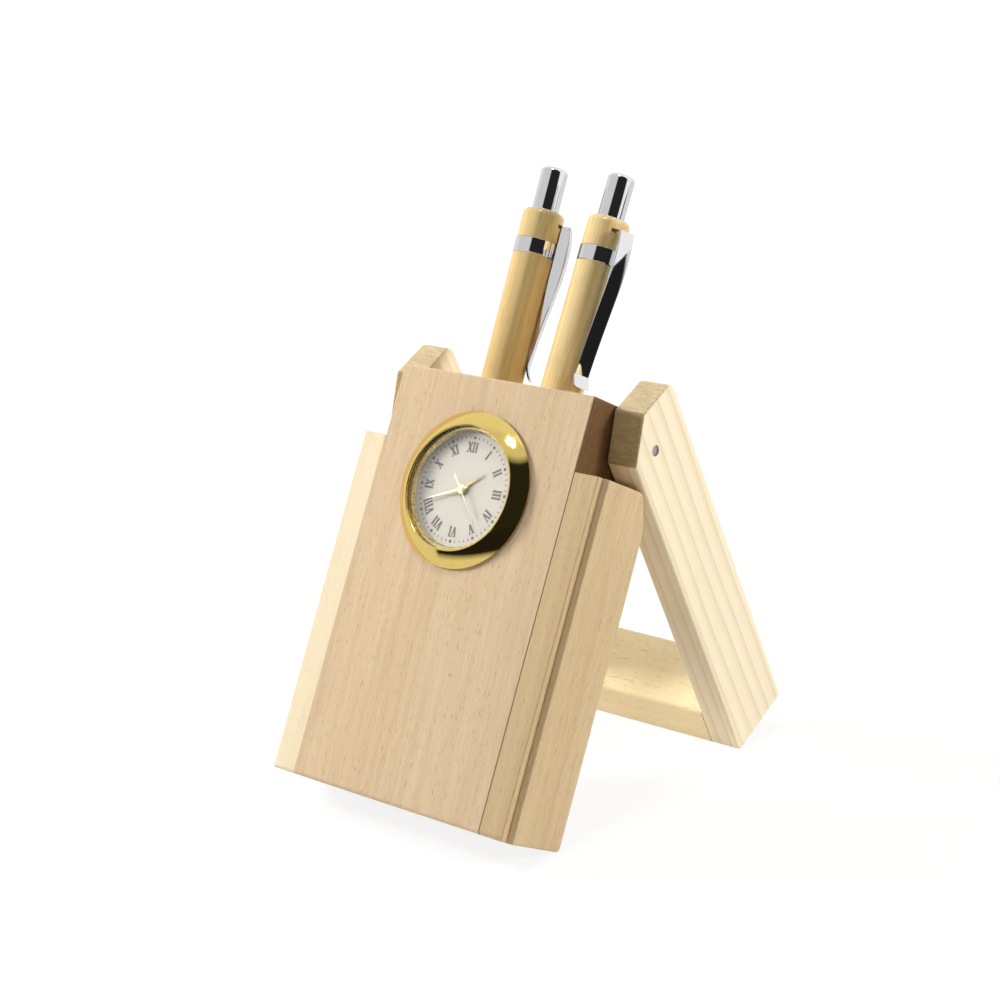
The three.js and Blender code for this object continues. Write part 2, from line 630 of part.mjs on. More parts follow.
function makeSpring(name) {
  const wire = outlineShape(Array.from({ length: spring.wireSides }, (_, i) =>
    place(spring.wire, (2 * Math.PI * i) / spring.wireSides)));
  const geometry = new THREE.ExtrudeGeometry(wire, {
    extrudePath: new Helix(), steps: spring.turns * spring.stepsPerTurn, bevelEnabled: false,
  });
  return named(name, geometry, steel);
}

const clipTop = capTop - clip.belowTop;

// A side outline of [x, z] points given a width across y
function acrossY(outline, width) {
  return new THREE.ExtrudeGeometry(outlineShape(outline), { depth: width, bevelEnabled: false })
    .rotateX(Math.PI / 2).translate(0, width / 2, 0);
}

// A folded sheet: its root plate enters the cap, its side walls reach almost to the barrel, and it
// narrows to a plain strip where it touches and flares out again at its end
function makeClip(name) {
  const touch = penStand.sunk + clip.touchAbove;
  const wall = barrel.radius + clip.wallGap;
  const face = clipShares.map(([up, out]) =>
    [barrel.radius + clip.bow * out, touch + (clipTop - touch) * up]);
  const end = penStand.sunk + clip.endAbove;
  const heel = [wall + clip.thickness, touch];
  const sheet = acrossY([[barrel.radius - clip.root, clipTop], ...face, heel,
    [heel[0] + clip.endOut, end], [heel[0] + clip.endOut - clip.thickness, end], [wall, touch],
    [wall, clipTop - clip.thickness], [barrel.radius - clip.root, clipTop - clip.thickness]], clip.width);
  const inside = face.slice(1).map(([x, z]) => [x - clip.thickness, z]);
  const under = [face[0][0] - clip.thickness, clipTop - clip.thickness];
  const hollow = acrossY([[barrel.radius, clipTop - clip.thickness], under, ...inside, [wall, touch],
    [barrel.radius, touch]], clip.width - 2 * clip.thickness);
  return named(name, cut(sheet, hollow), chrome);
}

function makePen(word, side) {
  const turnedClip = groupOf(makeCap(`pen_cap_${word}`), makeClip(`pen_clip_${word}`));
  turnedClip.rotation.z = clipTurn[word];
  const upright = groupOf(makeNose(`pen_nose_${word}`), makeBarrel(`pen_barrel_${word}`),
    makeBand(`pen_band_${word}`), makePlunger(`pen_plunger_${word}`), makeCam(`pen_cam_${word}`),
    makeRefill(`pen_refill_${word}`), makeSpring(`pen_spring_${word}`), turnedClip);
  upright.position.set(...penFoot(side));
  upright.rotation.y = side * penStand.splay;
  return upright;
}

// How far the board leans: its lower back edge and the legs' lower front edges stand level
function leanAngle() {
  const front = EASE - leg.front;
  const footY = pin.depth + leg.below * Math.sin(openAngle) + front * Math.cos(openAngle);
  const footZ = pinHeight() - leg.below * Math.cos(openAngle) + front * Math.sin(openAngle);
  return Math.atan2(footZ, footY - board.thickness + EASE);
}

const leaning = groupOf(makeBoard(), makeCheek('cheek_left', -1), makeCheek('cheek_right', 1),
  makePin('hinge_pin_left', -1), makePin('hinge_pin_right', 1), makeFrame(), makeClock(),
  makePen('left', -1), makePen('right', 1));
leaning.rotation.x = -leanAngle();

// The origin goes under the middle of the stand's outline
const stand = groupOf(leaning);
const outer = new THREE.Box3().setFromObject(stand, true);
const middle = outer.getCenter(new THREE.Vector3());
leaning.position.set(-middle.x, -middle.y, -outer.min.z);

export default stand;
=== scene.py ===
"""Looks of a folding wooden desk stand: a leaning board with a clock set into its face,
two bamboo click pens in bores behind it and a hinged frame that props it up.

Pieces are modelled in millimetres, each in the axes of the part that carries it, and are
then placed in the shared frame, which is in metres."""
import json
import math

import bmesh
import bpy
from mathutils import Matrix, Vector


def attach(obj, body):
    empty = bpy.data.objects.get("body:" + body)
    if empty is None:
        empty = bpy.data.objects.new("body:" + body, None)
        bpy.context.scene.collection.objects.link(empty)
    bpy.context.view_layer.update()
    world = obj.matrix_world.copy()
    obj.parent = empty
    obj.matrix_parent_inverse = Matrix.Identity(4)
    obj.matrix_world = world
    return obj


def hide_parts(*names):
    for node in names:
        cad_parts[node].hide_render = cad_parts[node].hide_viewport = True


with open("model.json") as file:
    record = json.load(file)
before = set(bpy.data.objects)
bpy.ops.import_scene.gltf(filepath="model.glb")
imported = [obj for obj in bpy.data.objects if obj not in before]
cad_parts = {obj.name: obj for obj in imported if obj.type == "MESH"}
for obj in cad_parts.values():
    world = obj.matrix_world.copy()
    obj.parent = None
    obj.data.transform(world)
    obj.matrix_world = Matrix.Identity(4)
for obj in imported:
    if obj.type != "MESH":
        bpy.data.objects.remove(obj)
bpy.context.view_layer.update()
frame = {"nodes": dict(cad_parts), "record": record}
joints = {joint["name"]: joint for joint in frame["record"]["behaviour"]["joints"]}

# Sizes in millimetres, as the solids have them
MM = 0.001
TINY = 0.001
CLOSE = 0.02
# A board's faces above this area stay flat
FLAT_AREA = 60.0
SIDES = (("left", -1), ("right", 1))

BOARD_HALF = 31.0
BOARD_DEPTH = 22.0
SHOULDER = 90.3
BOARD_TOP = 109.5
CHEEK = 9.0
CHEEK_CUT = 8.4
CHEEK_REST = 17.41
RABBET_WIDTH = 1.9
RABBET_DEPTH = 2.2
PIN_DEPTH = 17.2
PIN_HEIGHT = 101.2
PIN_RADIUS = 1.3
ROOM = 0.12
OPEN_ANGLE = math.radians(53.2)

LEG_GAP = 0.4
LEG = 9.0
LEG_FRONT = -8.3
LEG_BACK = 13.7
LEG_ABOVE = 11.2
LEG_BELOW = -99.5
LEG_CUT_DEPTH = 8.7
LEG_CUT_HEIGHT = 9.5
BAR_HEIGHT = 12.3
# How far edges are rounded
FOOT_ROUND = 1.15
HEAD_ROUND = 0.55
CHEEK_BEND = 3.4
CHEEK_TIP = 1.1
CHEEK_EDGE = 0.4
LEG_FOOT = 1.2
LEG_CORNER = 2.4
LEG_SAWN = 0.5
LEG_SIDE = 0.6

CLOCK_SIDE = -0.7
CLOCK_HEIGHT = 80.4
RECESS_RADIUS = 17.6
RECESS_DEPTH = 7.4
BEZEL_RADIUS = 20.2
BEZEL_OPENING = 15.9
BEZEL_RISE = 3.5
BEZEL_FOOT = 0.6
BEZEL_BEND = (18.45, 2.3)
BEZEL_LIFT = 0.3
BEZEL_EDGE = 0.3
CASE_ROOM = 17.15
LENS_RADIUS = 16.3
LENS_BOTTOM = 2.0
LENS_TOP = 2.9
DIAL_TOP = 0.5
DIAL_RADIUS = 15.1
DIAL_HOLE = 1.45
RING_INNER = 14.7
RING_OUTER = 15.38
RING_FLANGE = 16.8
DIAL_TURN = math.radians(1.8)
PRINT = 0.03
DOT_RADIUS = 0.42
TICK_HALF = 0.34
TICK_WIDTH = 0.24

PEN_SPREAD = 9.8
PEN_SPLAY = math.radians(1.0)
PEN_DEPTH = 14.2
PEN_SUNK = 79.0
BORE_RADIUS = 5.9
BARREL_RADIUS = 5.5
BARREL_BOTTOM = 18.3
BARREL_TOP = 114.3
BARREL_BORE = 3.8
NECK_ROOM = 4.42
NECK_TOP = 24.3
NOSE_HEIGHT = 18.0
BAND_TOP = 118.4
CAP_TOP = 126.6
CAP_ROUND = 1.7
BAMBOO_TURN = 1.3
PEN_TOP = 138.1
PLUNGER_RADIUS = 3.55
PLUNGER_ROUND = 1.15
CLIP_TURN = {"left": math.radians(29.0), "right": math.radians(-13.0)}
CLIP_HALF = 2.45
CLIP_SPLAY = 0.7
CLIP_WALL = 0.5
CLIP_BOW = 3.36
CLIP_INSIDE = 5.65
CLIP_TOP = 123.4
CLIP_TOUCH = 85.2
CLIP_END = 82.2
CLIP_FLARE = 1.4
CLIP_ROUND = 0.3
CLIP_STEPS = 36
SLOT_ROOM = 0.25
# The clip's outline: share of the way up from where it touches, share of the bow
CLIP_OUTLINE = ((0.0, 0.15), (0.23, 0.375), (0.363, 0.545), (0.442, 0.655), (0.521, 0.765), (0.6, 0.875),
                (0.679, 0.958), (0.758, 1.0), (0.837, 0.99), (0.921, 0.917), (1.0, 0.745))


def shift(*place):
    return Matrix.Translation(place)


def spin(angle, axis):
    return Matrix.Rotation(angle, 4, axis)


def basis(x_axis, y_axis, z_axis, origin):
    """A frame from three unit axes, scaled from millimetres to metres, at a point in metres."""
    turn = Matrix((x_axis, y_axis, z_axis)).transposed().to_4x4()
    return shift(*origin) @ turn @ Matrix.Diagonal((MM, MM, MM, 1.0))


MIRROR = Matrix.Diagonal((-1, 1, 1, 1))
ACROSS = Vector((1.0, 0.0, 0.0))
OUT = Vector(joints["clock_pull"]["axis"]).normalized()
BACK = -OUT
UP = ACROSS.cross(BACK)
HINGE = Vector(joints["frame_fold"]["pos_m"])
BOARD_FRAME = basis(ACROSS, BACK, UP, HINGE - (BACK * PIN_DEPTH + UP * PIN_HEIGHT) * MM)
LEG_FRAME = BOARD_FRAME @ shift(0, PIN_DEPTH, PIN_HEIGHT) @ spin(OPEN_ANGLE, "X")
CLOCK_FRAME = basis(ACROSS, UP, OUT, Vector(joints["second_spin"]["pos_m"]))


def pen_frame(side):
    """A pen's own axes: z up along its bore, from the bore's foot."""
    across = side * (PEN_SPREAD - PEN_SUNK * math.tan(PEN_SPLAY))
    return BOARD_FRAME @ shift(across, PEN_DEPTH, BOARD_TOP - PEN_SUNK) @ spin(side * PEN_SPLAY, "Y")


# Modelling helpers
def only(*objects):
    """Leaves just these objects selected, the first one active."""
    bpy.ops.object.select_all(action="DESELECT")
    for item in objects:
        item.select_set(True)
    bpy.context.view_layer.objects.active = objects[0]


def new_piece(name):
    """Names the primitive that was just added and bakes its size and place into its mesh."""
    piece = bpy.context.object
    piece.name = piece.data.name = name
    bpy.ops.object.transform_apply(location=True, rotation=True, scale=True)
    return piece


def deselect():
    bpy.ops.object.select_all(action="DESELECT")


def plank(name, low, high):
    """A plain board between two corners."""
    deselect()
    middle = (Vector(low) + Vector(high)) / 2
    bpy.ops.mesh.primitive_cube_add(size=1, location=middle, scale=Vector(high) - Vector(low))
    return new_piece(name)


def select(piece, kind, test):
    """In edit mode, selects just the vertices, edges or faces whose vertex positions pass a test."""
    bpy.context.tool_settings.mesh_select_mode = (kind == "verts", kind == "edges", kind == "faces")
    mesh = bmesh.from_edit_mesh(piece.data)
    for part in [*mesh.verts, *mesh.edges, *mesh.faces]:
        part.select = False
    for part in getattr(mesh, kind):
        corners = [part.co] if kind == "verts" else [v.co for v in part.verts]
        if test(corners):
            part.select_set(True)
    bmesh.update_edit_mesh(piece.data)


def edit(piece):
    """Opens a piece in edit mode with all of it selected."""
    only(piece)
    bpy.ops.object.mode_set(mode="EDIT")
    bpy.ops.mesh.select_all(action="SELECT")


def done():
    bpy.ops.object.mode_set(mode="OBJECT")


def slice_off(piece, point, normal):
    """Cuts a piece by a plane and takes away what lies on the normal's side."""
    edit(piece)
    bpy.ops.mesh.bisect(plane_co=point, plane_no=normal, use_fill=True, clear_outer=True)
    done()


def cut_across(heights):
    """In edit mode, adds a ring of edges at each height."""
    for height in heights:
        bpy.ops.mesh.select_all(action="SELECT")
        bpy.ops.mesh.bisect(plane_co=(0, 0, height), plane_no=(0, 0, 1))


def round_edges(piece, width, segments, test):
    """Rounds the edges whose two ends pass a test."""
    edit(piece)
    select(piece, "edges", test)
    bpy.ops.mesh.bevel(offset=width, segments=segments, profile=0.5, affect="EDGES")
    done()


def ease(piece, width):
    """Softens every sharp edge of a piece."""
    only(piece)
    soft = piece.modifiers.new("ease", "BEVEL")
    soft.width = width
    soft.segments = 2
    soft.limit_method = "ANGLE"
    soft.angle_limit = math.radians(30.0)
    bpy.ops.object.modifier_apply(modifier=soft.name)


def combine(piece, operation, tools):
    """Joins tools to a piece or takes them out of it, and deletes the tools."""
    for tool in tools:
        only(piece)
        change = piece.modifiers.new("change", "BOOLEAN")
        change.operation = operation
        change.solver = "EXACT"
        change.object = tool
        bpy.ops.object.modifier_apply(modifier=change.name)
        bpy.data.objects.remove(tool)


def carve(piece, *tools):
    combine(piece, "DIFFERENCE", tools)


def unite(piece, *tools):
    combine(piece, "UNION", tools)


def turned(name, profile, sides, closed=False):
    """A turned piece: a circle grows from ring to ring along a profile of (radius, z)."""
    deselect()
    radius, height = profile[0]
    bpy.ops.mesh.primitive_circle_add(vertices=sides, radius=radius, location=(0, 0, height))
    piece = new_piece(name)
    edit(piece)
    bpy.context.tool_settings.mesh_select_mode = (False, True, False)
    if not closed:
        bpy.ops.mesh.edge_face_add()
        bpy.ops.mesh.region_to_loop()
    for next_radius, next_height in profile[1:]:
        bpy.ops.mesh.extrude_region_move(
            TRANSFORM_OT_translate={"value": (0, 0, next_height - height)})
        share = next_radius / radius
        bpy.ops.transform.resize(value=(share, share, 1), center_override=(0, 0, next_height))
        radius, height = next_radius, next_height
    if closed:
        bpy.ops.mesh.select_all(action="SELECT")
        bpy.ops.mesh.region_to_loop()
        bpy.ops.mesh.bridge_edge_loops()
    else:
        bpy.ops.mesh.edge_face_add()
    bpy.ops.mesh.select_all(action="SELECT")
    bpy.ops.mesh.remove_doubles(threshold=TINY)
    bpy.ops.mesh.normals_make_consistent(inside=False)
    done()
    return piece


def bar(name, radius, bottom, top, sides):
    """A plain round bar along z, for cutting holes."""
    deselect()
    bpy.ops.mesh.primitive_cylinder_add(
        vertices=sides, radius=radius, depth=top - bottom, location=(0, 0, (top + bottom) / 2))
    return new_piece(name)


def turn_mesh(piece, matrix):
    """Moves a piece's mesh by a matrix in its own axes."""
    only(piece)
    piece.matrix_world = matrix
    bpy.ops.object.transform_apply(location=True, rotation=True, scale=True)
    return piece


def arc(centre, radius, start, end, steps):
    """Points on a circle between two angles in degrees, both ends included."""
    angles = [math.radians(start + (end - start) * i / steps) for i in range(steps + 1)]
    return [(centre[0] + radius * math.cos(a), centre[1] + radius * math.sin(a)) for a in angles]


def joined(*pieces):
    only(*pieces)
    bpy.ops.object.join()
    return bpy.context.object


def twin(piece, name, matrix):
    """A copy of a piece with its own mesh, moved by a matrix, and turned right side out if mirrored."""
    copy = piece.copy()
    copy.data = piece.data.copy()
    copy.name = copy.data.name = name
    bpy.context.collection.objects.link(copy)
    turn_mesh(copy, matrix)
    if matrix.determinant() < 0:
        edit(copy)
        bpy.ops.mesh.normals_make_consistent(inside=False)
        done()
    return copy


def finished(piece, place, body, material, node=None, smooth=30.0, flat=False):
    """Places a piece in the shared frame, smooths it, gives it its body and finish, and hides the solid that
    it stands in for.
    A piece of boards keeps its large faces flat beside their rounded edges."""
    turn_mesh(piece, place)
    only(piece)
    bpy.ops.object.shade_smooth_by_angle(angle=math.radians(smooth))
    if flat:
        edit(piece)
        bpy.context.tool_settings.mesh_select_mode = (False, False, True)
        mesh = bmesh.from_edit_mesh(piece.data)
        for face in mesh.faces:
            face.select_set(face.calc_area() > FLAT_AREA * MM * MM)
        bmesh.update_edit_mesh(piece.data)
        bpy.ops.mesh.faces_shade_flat()
        done()
    piece.data.materials.clear()
    piece.data.materials.append(material)
    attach(piece, body)
    if node:
        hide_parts(node)
    return piece


# Node helpers
def new_group(name, inputs, outputs):
    """An empty node group and its two ends; each socket is a name and a kind."""
    group = bpy.data.node_groups.new(name, "ShaderNodeTree")
    for side, sockets in (("INPUT", inputs), ("OUTPUT", outputs)):
        for label, kind in sockets.items():
            group.interface.new_socket(label, in_out=side, socket_type=f"NodeSocket{kind}")
    return group, group.nodes.new("NodeGroupInput"), group.nodes.new("NodeGroupOutput")


def feed(tree, socket, value):
    """Links a socket to an input, or sets the input's own value."""
    if isinstance(value, bpy.types.NodeSocket):
        tree.links.new(value, socket)
    else:
        socket.default_value = value


def add_node(tree, kind, settings=None, **values):
    """A node with its settings; its inputs are given by name, or by place as i0, i1 and so on."""
    node = tree.nodes.new(f"ShaderNode{kind}")
    for key, value in (settings or {}).items():
        setattr(node, key, value)
    for key, value in values.items():
        by_place = key[0] == "i" and key[1:].isdigit()
        feed(tree, node.inputs[int(key[1:]) if by_place else key.replace("_", " ")], value)
    return node


def maths(tree, operation, first, second=0.0, clamp=False):
    node = add_node(tree, "Math", {"operation": operation, "use_clamp": clamp}, i0=first, i1=second)
    return node.outputs[0]


def times(tree, first, second):
    return maths(tree, "MULTIPLY", first, second)


def spread(tree, value, low, high, to_low=0.0, to_high=1.0):
    """Maps a value from one range to another, held at both ends."""
    node = add_node(tree, "MapRange", Value=value, From_Min=low, From_Max=high,
                    To_Min=to_low, To_Max=to_high)
    return node.outputs["Result"]


def blend(tree, factor, first, second):
    node = add_node(tree, "Mix", {"data_type": "RGBA"}, i0=factor, i6=first, i7=second)
    return node.outputs[2]


def vector_maths(tree, operation, result="Vector", **values):
    return add_node(tree, "VectorMath", {"operation": operation}, **values).outputs[result]


def stretched(tree, vector, factors):
    """A vector scaled by three factors."""
    return vector_maths(tree, "MULTIPLY", i0=vector, i1=factors)


def noise(tree, vector, factors, detail, roughness=0.5):
    """Soft clouds, drawn finer along each axis by its factor."""
    node = add_node(tree, "TexNoise", Vector=stretched(tree, vector, factors), Scale=1.0,
                    Detail=detail, Roughness=roughness)
    return node.outputs["Fac"]


def srgb(red, green, blue):
    """A colour given as 0 to 255 on the screen, as the linear values that a shader takes."""
    def linear(value):
        share = value / 255
        return share / 12.92 if share <= 0.04045 else ((share + 0.055) / 1.055) ** 2.4
    return (linear(red), linear(green), linear(blue), 1.0)


def darker(colour, share):
    return [channel * share for channel in colour[:3]] + [1.0]


def wood_group():
    """Figured wood: growth rings across z, long streaks, fine fibres and short dark flecks along z.
    The vector is in millimetres with z along the grain."""
    group, given, result = new_group("wood figure", {
        "Vector": "Vector", "Light": "Color", "Dark": "Color", "Fleck Colour": "Color",
        "Ring Width": "Float", "Ring Strength": "Float", "Streak Strength": "Float",
        "Fleck Strength": "Float", "Wander": "Float",
    }, {"Color": "Color", "Height": "Float", "Gloss": "Float"})
    vector = given.outputs["Vector"]
    # Growth rings round a pith that lies outside the board, wandering slowly along the grain
    wander = add_node(group, "TexNoise", Vector=stretched(group, vector, (0.05, 0.05, 0.009)),
                      Scale=1.0, Detail=2.0)
    drift = vector_maths(group, "SCALE", i0=wander.outputs["Color"], Scale=given.outputs["Wander"])
    shifted = vector_maths(group, "ADD", i0=drift, i1=vector)
    reach = vector_maths(group, "LENGTH", "Value", i0=stretched(group, shifted, (1, 1, 0.012)))
    saw = maths(group, "FRACT", maths(group, "DIVIDE", reach, given.outputs["Ring Width"]))
    late = maths(group, "POWER", saw, 3.0)
    fall = spread(group, saw, 0.93, 1.0, 1.0, 0.0)
    ring = times(group, times(group, late, fall), given.outputs["Ring Strength"])
    # Long streaks and fibres
    streak = noise(group, vector, (0.42, 0.42, 0.012), 4.0, 0.6)
    fibre = noise(group, vector, (3.2, 3.2, 0.07), 3.0, 0.65)
    fine = spread(group, fibre, 0.3, 0.7)
    mixed = maths(group, "ADD", times(group, spread(group, streak, 0.3, 0.7), 0.45),
                  times(group, fine, 0.55))
    tone = times(group, mixed, given.outputs["Streak Strength"])
    darkness = maths(group, "ADD", tone, ring, clamp=True)
    base = blend(group, darkness, given.outputs["Light"], given.outputs["Dark"])
    # Short flecks: thin dashes along the grain, in loose patches
    fleck = spread(group, noise(group, vector, (3.0, 3.0, 0.42), 1.0, 0.4), 0.6, 0.68)
    patch = spread(group, noise(group, vector, (0.5, 0.5, 0.05), 1.0), 0.35, 0.6)
    amount = times(group, times(group, fleck, patch),
                   given.outputs["Fleck Strength"])
    final = blend(group, amount, base, given.outputs["Fleck Colour"])
    height = maths(group, "SUBTRACT", fibre, maths(group, "ADD", amount, ring))
    for label, value in (("Color", final), ("Height", height), ("Gloss", fine)):
        group.links.new(value, result.inputs[label])
    return group


def wear_group():
    """Small uneven spots and hairlines, for the roughness of metal and plastic."""
    group, given, result = new_group("surface wear", {
        "Vector": "Vector", "Scale": "Float", "Low": "Float", "High": "Float",
    }, {"Roughness": "Float", "Mask": "Float"})
    sized = vector_maths(group, "SCALE", i0=given.outputs["Vector"], Scale=given.outputs["Scale"])
    clouds = noise(group, sized, (1.0, 1.0, 1.0), 4.0, 0.6)
    hairs = noise(group, sized, (9.0, 0.7, 4.0), 2.0, 0.7)
    mask = maths(group, "ADD", times(group, clouds, 0.6), times(group, hairs, 0.4))
    group.links.new(mask, result.inputs["Mask"])
    group.links.new(spread(group, mask, 0.3, 0.7, given.outputs["Low"], given.outputs["High"]),
                    result.inputs["Roughness"])
    return group


WOOD = wood_group()
WEAR = wear_group()


def material_in(name, place):
    """A material with its shader, and object coordinates turned to a part's axes in millimetres."""
    material = bpy.data.materials.new(name)
    material.use_nodes = True
    tree = material.node_tree
    inverse = place.inverted()
    mapping = add_node(
        tree, "Mapping", Vector=tree.nodes.new("ShaderNodeTexCoord").outputs["Object"],
        Location=inverse.to_translation(), Rotation=inverse.to_euler(), Scale=(1 / MM, 1 / MM, 1 / MM))
    return material, tree, tree.nodes["Principled BSDF"], mapping.outputs["Vector"]


def place_group(tree, group, vector, **values):
    return add_node(tree, "Group", {"node_tree": group}, Vector=vector, **values)


def settle(shader, **values):
    """Sets the inputs of a shader that are the same all over the surface."""
    for key, value in values.items():
        shader.inputs[key.replace("_", " ")].default_value = value


def paint(tree, shader, colour, roughness):
    tree.links.new(colour, shader.inputs["Base Color"])
    tree.links.new(roughness, shader.inputs["Roughness"])


def bumped(tree, shader, height, strength, distance):
    bump = add_node(tree, "Bump", Height=height, Strength=strength, Distance=distance)
    tree.links.new(bump.outputs["Normal"], shader.inputs["Normal"])


def show_mix(tree, share, first, second):
    """Sends a mix of two shaders to the surface."""
    mix = add_node(tree, "MixShader", i0=share, i1=first.outputs[0], i2=second.outputs[0])
    tree.links.new(mix.outputs[0], tree.nodes["Material Output"].inputs["Surface"])


def end_grain_and_shade(tree, vector, base, ends):
    """Dotted, toned faces, each with its normal, distance and tone: the wood's cut ends, and painted shade,
    a dark tone on faces where another part keeps the light off.
    """
    dots = spread(tree, noise(tree, vector, (2.2, 1.5, 0.8), 2.0, 0.6), 0.5, 0.66, 0.0, 0.5)
    layers = spread(tree, noise(tree, vector, (0.25, 1.3, 0.6), 2.0), 0.35, 0.65)
    for normal, distance, tone in ends:
        depth = vector_maths(tree, "DOT_PRODUCT", "Value", i0=vector, i1=normal)
        mask = spread(tree, depth, distance - END_AND_SHADE_FADE, distance - END_AND_SHADE_DEPTH)
        cut = blend(tree, layers, tone, darker(tone, 0.82))
        base = blend(tree, mask, base, blend(tree, dots, cut, darker(tone, 0.5)))
    return base


def wood(name, place, light, dark, fleck_colour, offset, turn, ring_width, ring, streak, fleck,
         wander=9.0, ends=()):
    """Bare sanded wood, its figure set off and turned so that no two boards match."""
    material, tree, shader, vector = material_in(name, place)
    moved = add_node(tree, "Mapping", Vector=vector, Location=offset,
                     Rotation=(0.0, math.radians(turn), 0.0))
    figure = place_group(
        tree, WOOD, moved.outputs["Vector"], Light=light, Dark=dark, Fleck_Colour=fleck_colour,
        Ring_Width=ring_width, Ring_Strength=ring, Streak_Strength=streak, Fleck_Strength=fleck,
        Wander=wander)
    colour = figure.outputs["Color"]
    # Cut ends are toned, and some faces are toned dark as painted shade
    if ends:
        colour = end_grain_and_shade(tree, vector, colour, ends)
    paint(tree, shader, colour, spread(tree, figure.outputs["Gloss"], 0.0, 1.0, 0.44, 0.58))
    settle(shader, Specular_IOR_Level=0.4)
    bumped(tree, shader, figure.outputs["Height"], 0.25, 0.00006)
    return material


def worn(name, place, colour, low, high, scale, spot, bump, depth):
    """A plain colour with darker spots and an uneven gloss, and its shader."""
    material, tree, shader, vector = material_in(name, place)
    wear = place_group(tree, WEAR, vector, Scale=scale, Low=low, High=high)
    tinted = blend(tree, spread(tree, wear.outputs["Mask"], 0.3, 0.7), colour, darker(colour, spot))
    paint(tree, shader, tinted, wear.outputs["Roughness"])
    if bump:
        bumped(tree, shader, wear.outputs["Mask"], bump, depth)
    return material, shader


def metal(name, place, colour, low, high, scale, bump=0.0):
    material, shader = worn(name, place, colour, low, high, scale, 0.94, bump, 0.00002)
    settle(shader, Metallic=1.0)
    return material


def plastic(name, place, colour, low, high, scale, bump=0.15):
    return worn(name, place, colour, low, high, scale, 0.9, bump, 0.00003)[0]


def lens_glass():
    """Clear glass that lets lamp light through to the dial."""
    material, tree, shader, vector = material_in("lens glass", CLOCK_FRAME)
    smears = place_group(tree, WEAR, vector, Scale=0.25, Low=0.0, High=0.03)
    tree.links.new(smears.outputs["Roughness"], shader.inputs["Roughness"])
    settle(shader, Base_Color=(1.0, 1.0, 1.0, 1.0), Transmission_Weight=1.0, IOR=1.45)
    rays = tree.nodes.new("ShaderNodeLightPath")
    show_mix(tree, rays.outputs["Is Shadow Ray"], shader, tree.nodes.new("ShaderNodeBsdfTransparent"))
    return material


def bamboo(name, place):
    """Varnished bamboo: fibres along z that change round the barrel, with short brown bundles."""
    material, tree, shader, vector = material_in(name, place)
    fibres = noise(tree, vector, (1.1, 1.1, 0.012), 4.0, 0.6)
    bundles = noise(tree, vector, (3.5, 3.5, 0.16), 1.0, 0.4)
    bands = noise(tree, vector, (0.22, 0.22, 0.004), 1.0)
    base = blend(tree, spread(tree, fibres, 0.3, 0.7), srgb(242, 219, 160), srgb(224, 194, 132))
    warmer = blend(tree, spread(tree, bands, 0.42, 0.62, 0.0, 0.45), base, srgb(204, 164, 88))
    flecked = blend(tree, spread(tree, bundles, 0.6, 0.7, 0.0, 0.22), warmer, srgb(140, 92, 40))
    paint(tree, shader, flecked, spread(tree, fibres, 0.3, 0.7, 0.26, 0.38))
    settle(shader, Coat_Weight=0.5, Coat_Roughness=0.12)
    bumped(tree, shader, fibres, 0.2, 0.00003)
    return material


def dial_card():
    """Pale silvered card with a very fine tooth."""
    material, tree, shader, vector = material_in("dial card", CLOCK_FRAME)
    tooth = noise(tree, vector, (6.0, 6.0, 6.0), 2.0, 0.6)
    paint(tree, shader, blend(tree, tooth, srgb(179, 175, 165), srgb(171, 167, 157)),
          spread(tree, tooth, 0.3, 0.7, 0.5, 0.65))
    bumped(tree, shader, tooth, 0.1, 0.00001)
    return material


# The toned faces' look, on cut ends and as painted shade, reaches this deep and then fades
END_AND_SHADE_DEPTH = 0.2
END_AND_SHADE_FADE = 0.45
LEG_CUT = Vector((0, -LEG_CUT_HEIGHT, LEG_CUT_DEPTH)).normalized()
LEG_CUT_AT = LEG_CUT.dot(Vector((0, LEG_FRONT + LEG_CUT_DEPTH, LEG_ABOVE)))

# The board's right side face is toned dark brown: painted shade, where the leg beside it keeps the light off
# the face in the notch
PANEL_WOOD = wood(
    "panel beech", BOARD_FRAME, srgb(234, 210, 176), srgb(198, 168, 130), srgb(150, 116, 80),
    offset=(60.0, 190.0, 0.0), turn=2.0, ring_width=9.0, ring=0.12, streak=0.75, fleck=0.4,
    ends=(((1.0, 0.0, 0.0), BOARD_HALF, srgb(120, 88, 56)),))
CHEEK_LEFT_WOOD = wood(
    "left cheek beech", BOARD_FRAME, srgb(250, 236, 206), srgb(228, 204, 164), srgb(190, 160, 118),
    offset=(-120.0, 150.0, 40.0), turn=-1.5, ring_width=5.0, ring=0.15, streak=0.5, fleck=0.25)
CHEEK_RIGHT_WOOD = wood(
    "right cheek beech", BOARD_FRAME, srgb(220, 196, 156), srgb(186, 156, 112), srgb(150, 116, 76),
    offset=(150.0, 40.0, 90.0), turn=1.5, ring_width=6.0, ring=0.2, streak=0.6, fleck=0.4)
# The legs' top is toned as end grain; the slanted cut is toned darker still, partly end grain and partly
# painted shade, where the board's head keeps the light off it
LEG_WOOD = wood(
    "leg wood", LEG_FRAME, srgb(250, 238, 210), srgb(206, 180, 132), srgb(170, 140, 96),
    offset=(30.0, 60.0, 20.0), turn=0.6, ring_width=3.0, ring=0.42, streak=0.2, fleck=0.06, wander=2.5,
    ends=(((0.0, 0.0, 1.0), LEG_ABOVE, srgb(226, 204, 162)),
          (LEG_CUT.to_tuple(), LEG_CUT_AT, srgb(186, 160, 112))))
BAR_WOOD = wood(
    "crossbar wood", LEG_FRAME @ spin(math.pi / 2, "Y"), srgb(254, 240, 200), srgb(236, 210, 164),
    srgb(196, 164, 112), offset=(70.0, 20.0, 60.0), turn=0.0, ring_width=7.0, ring=0.12, streak=0.45,
    fleck=0.45)

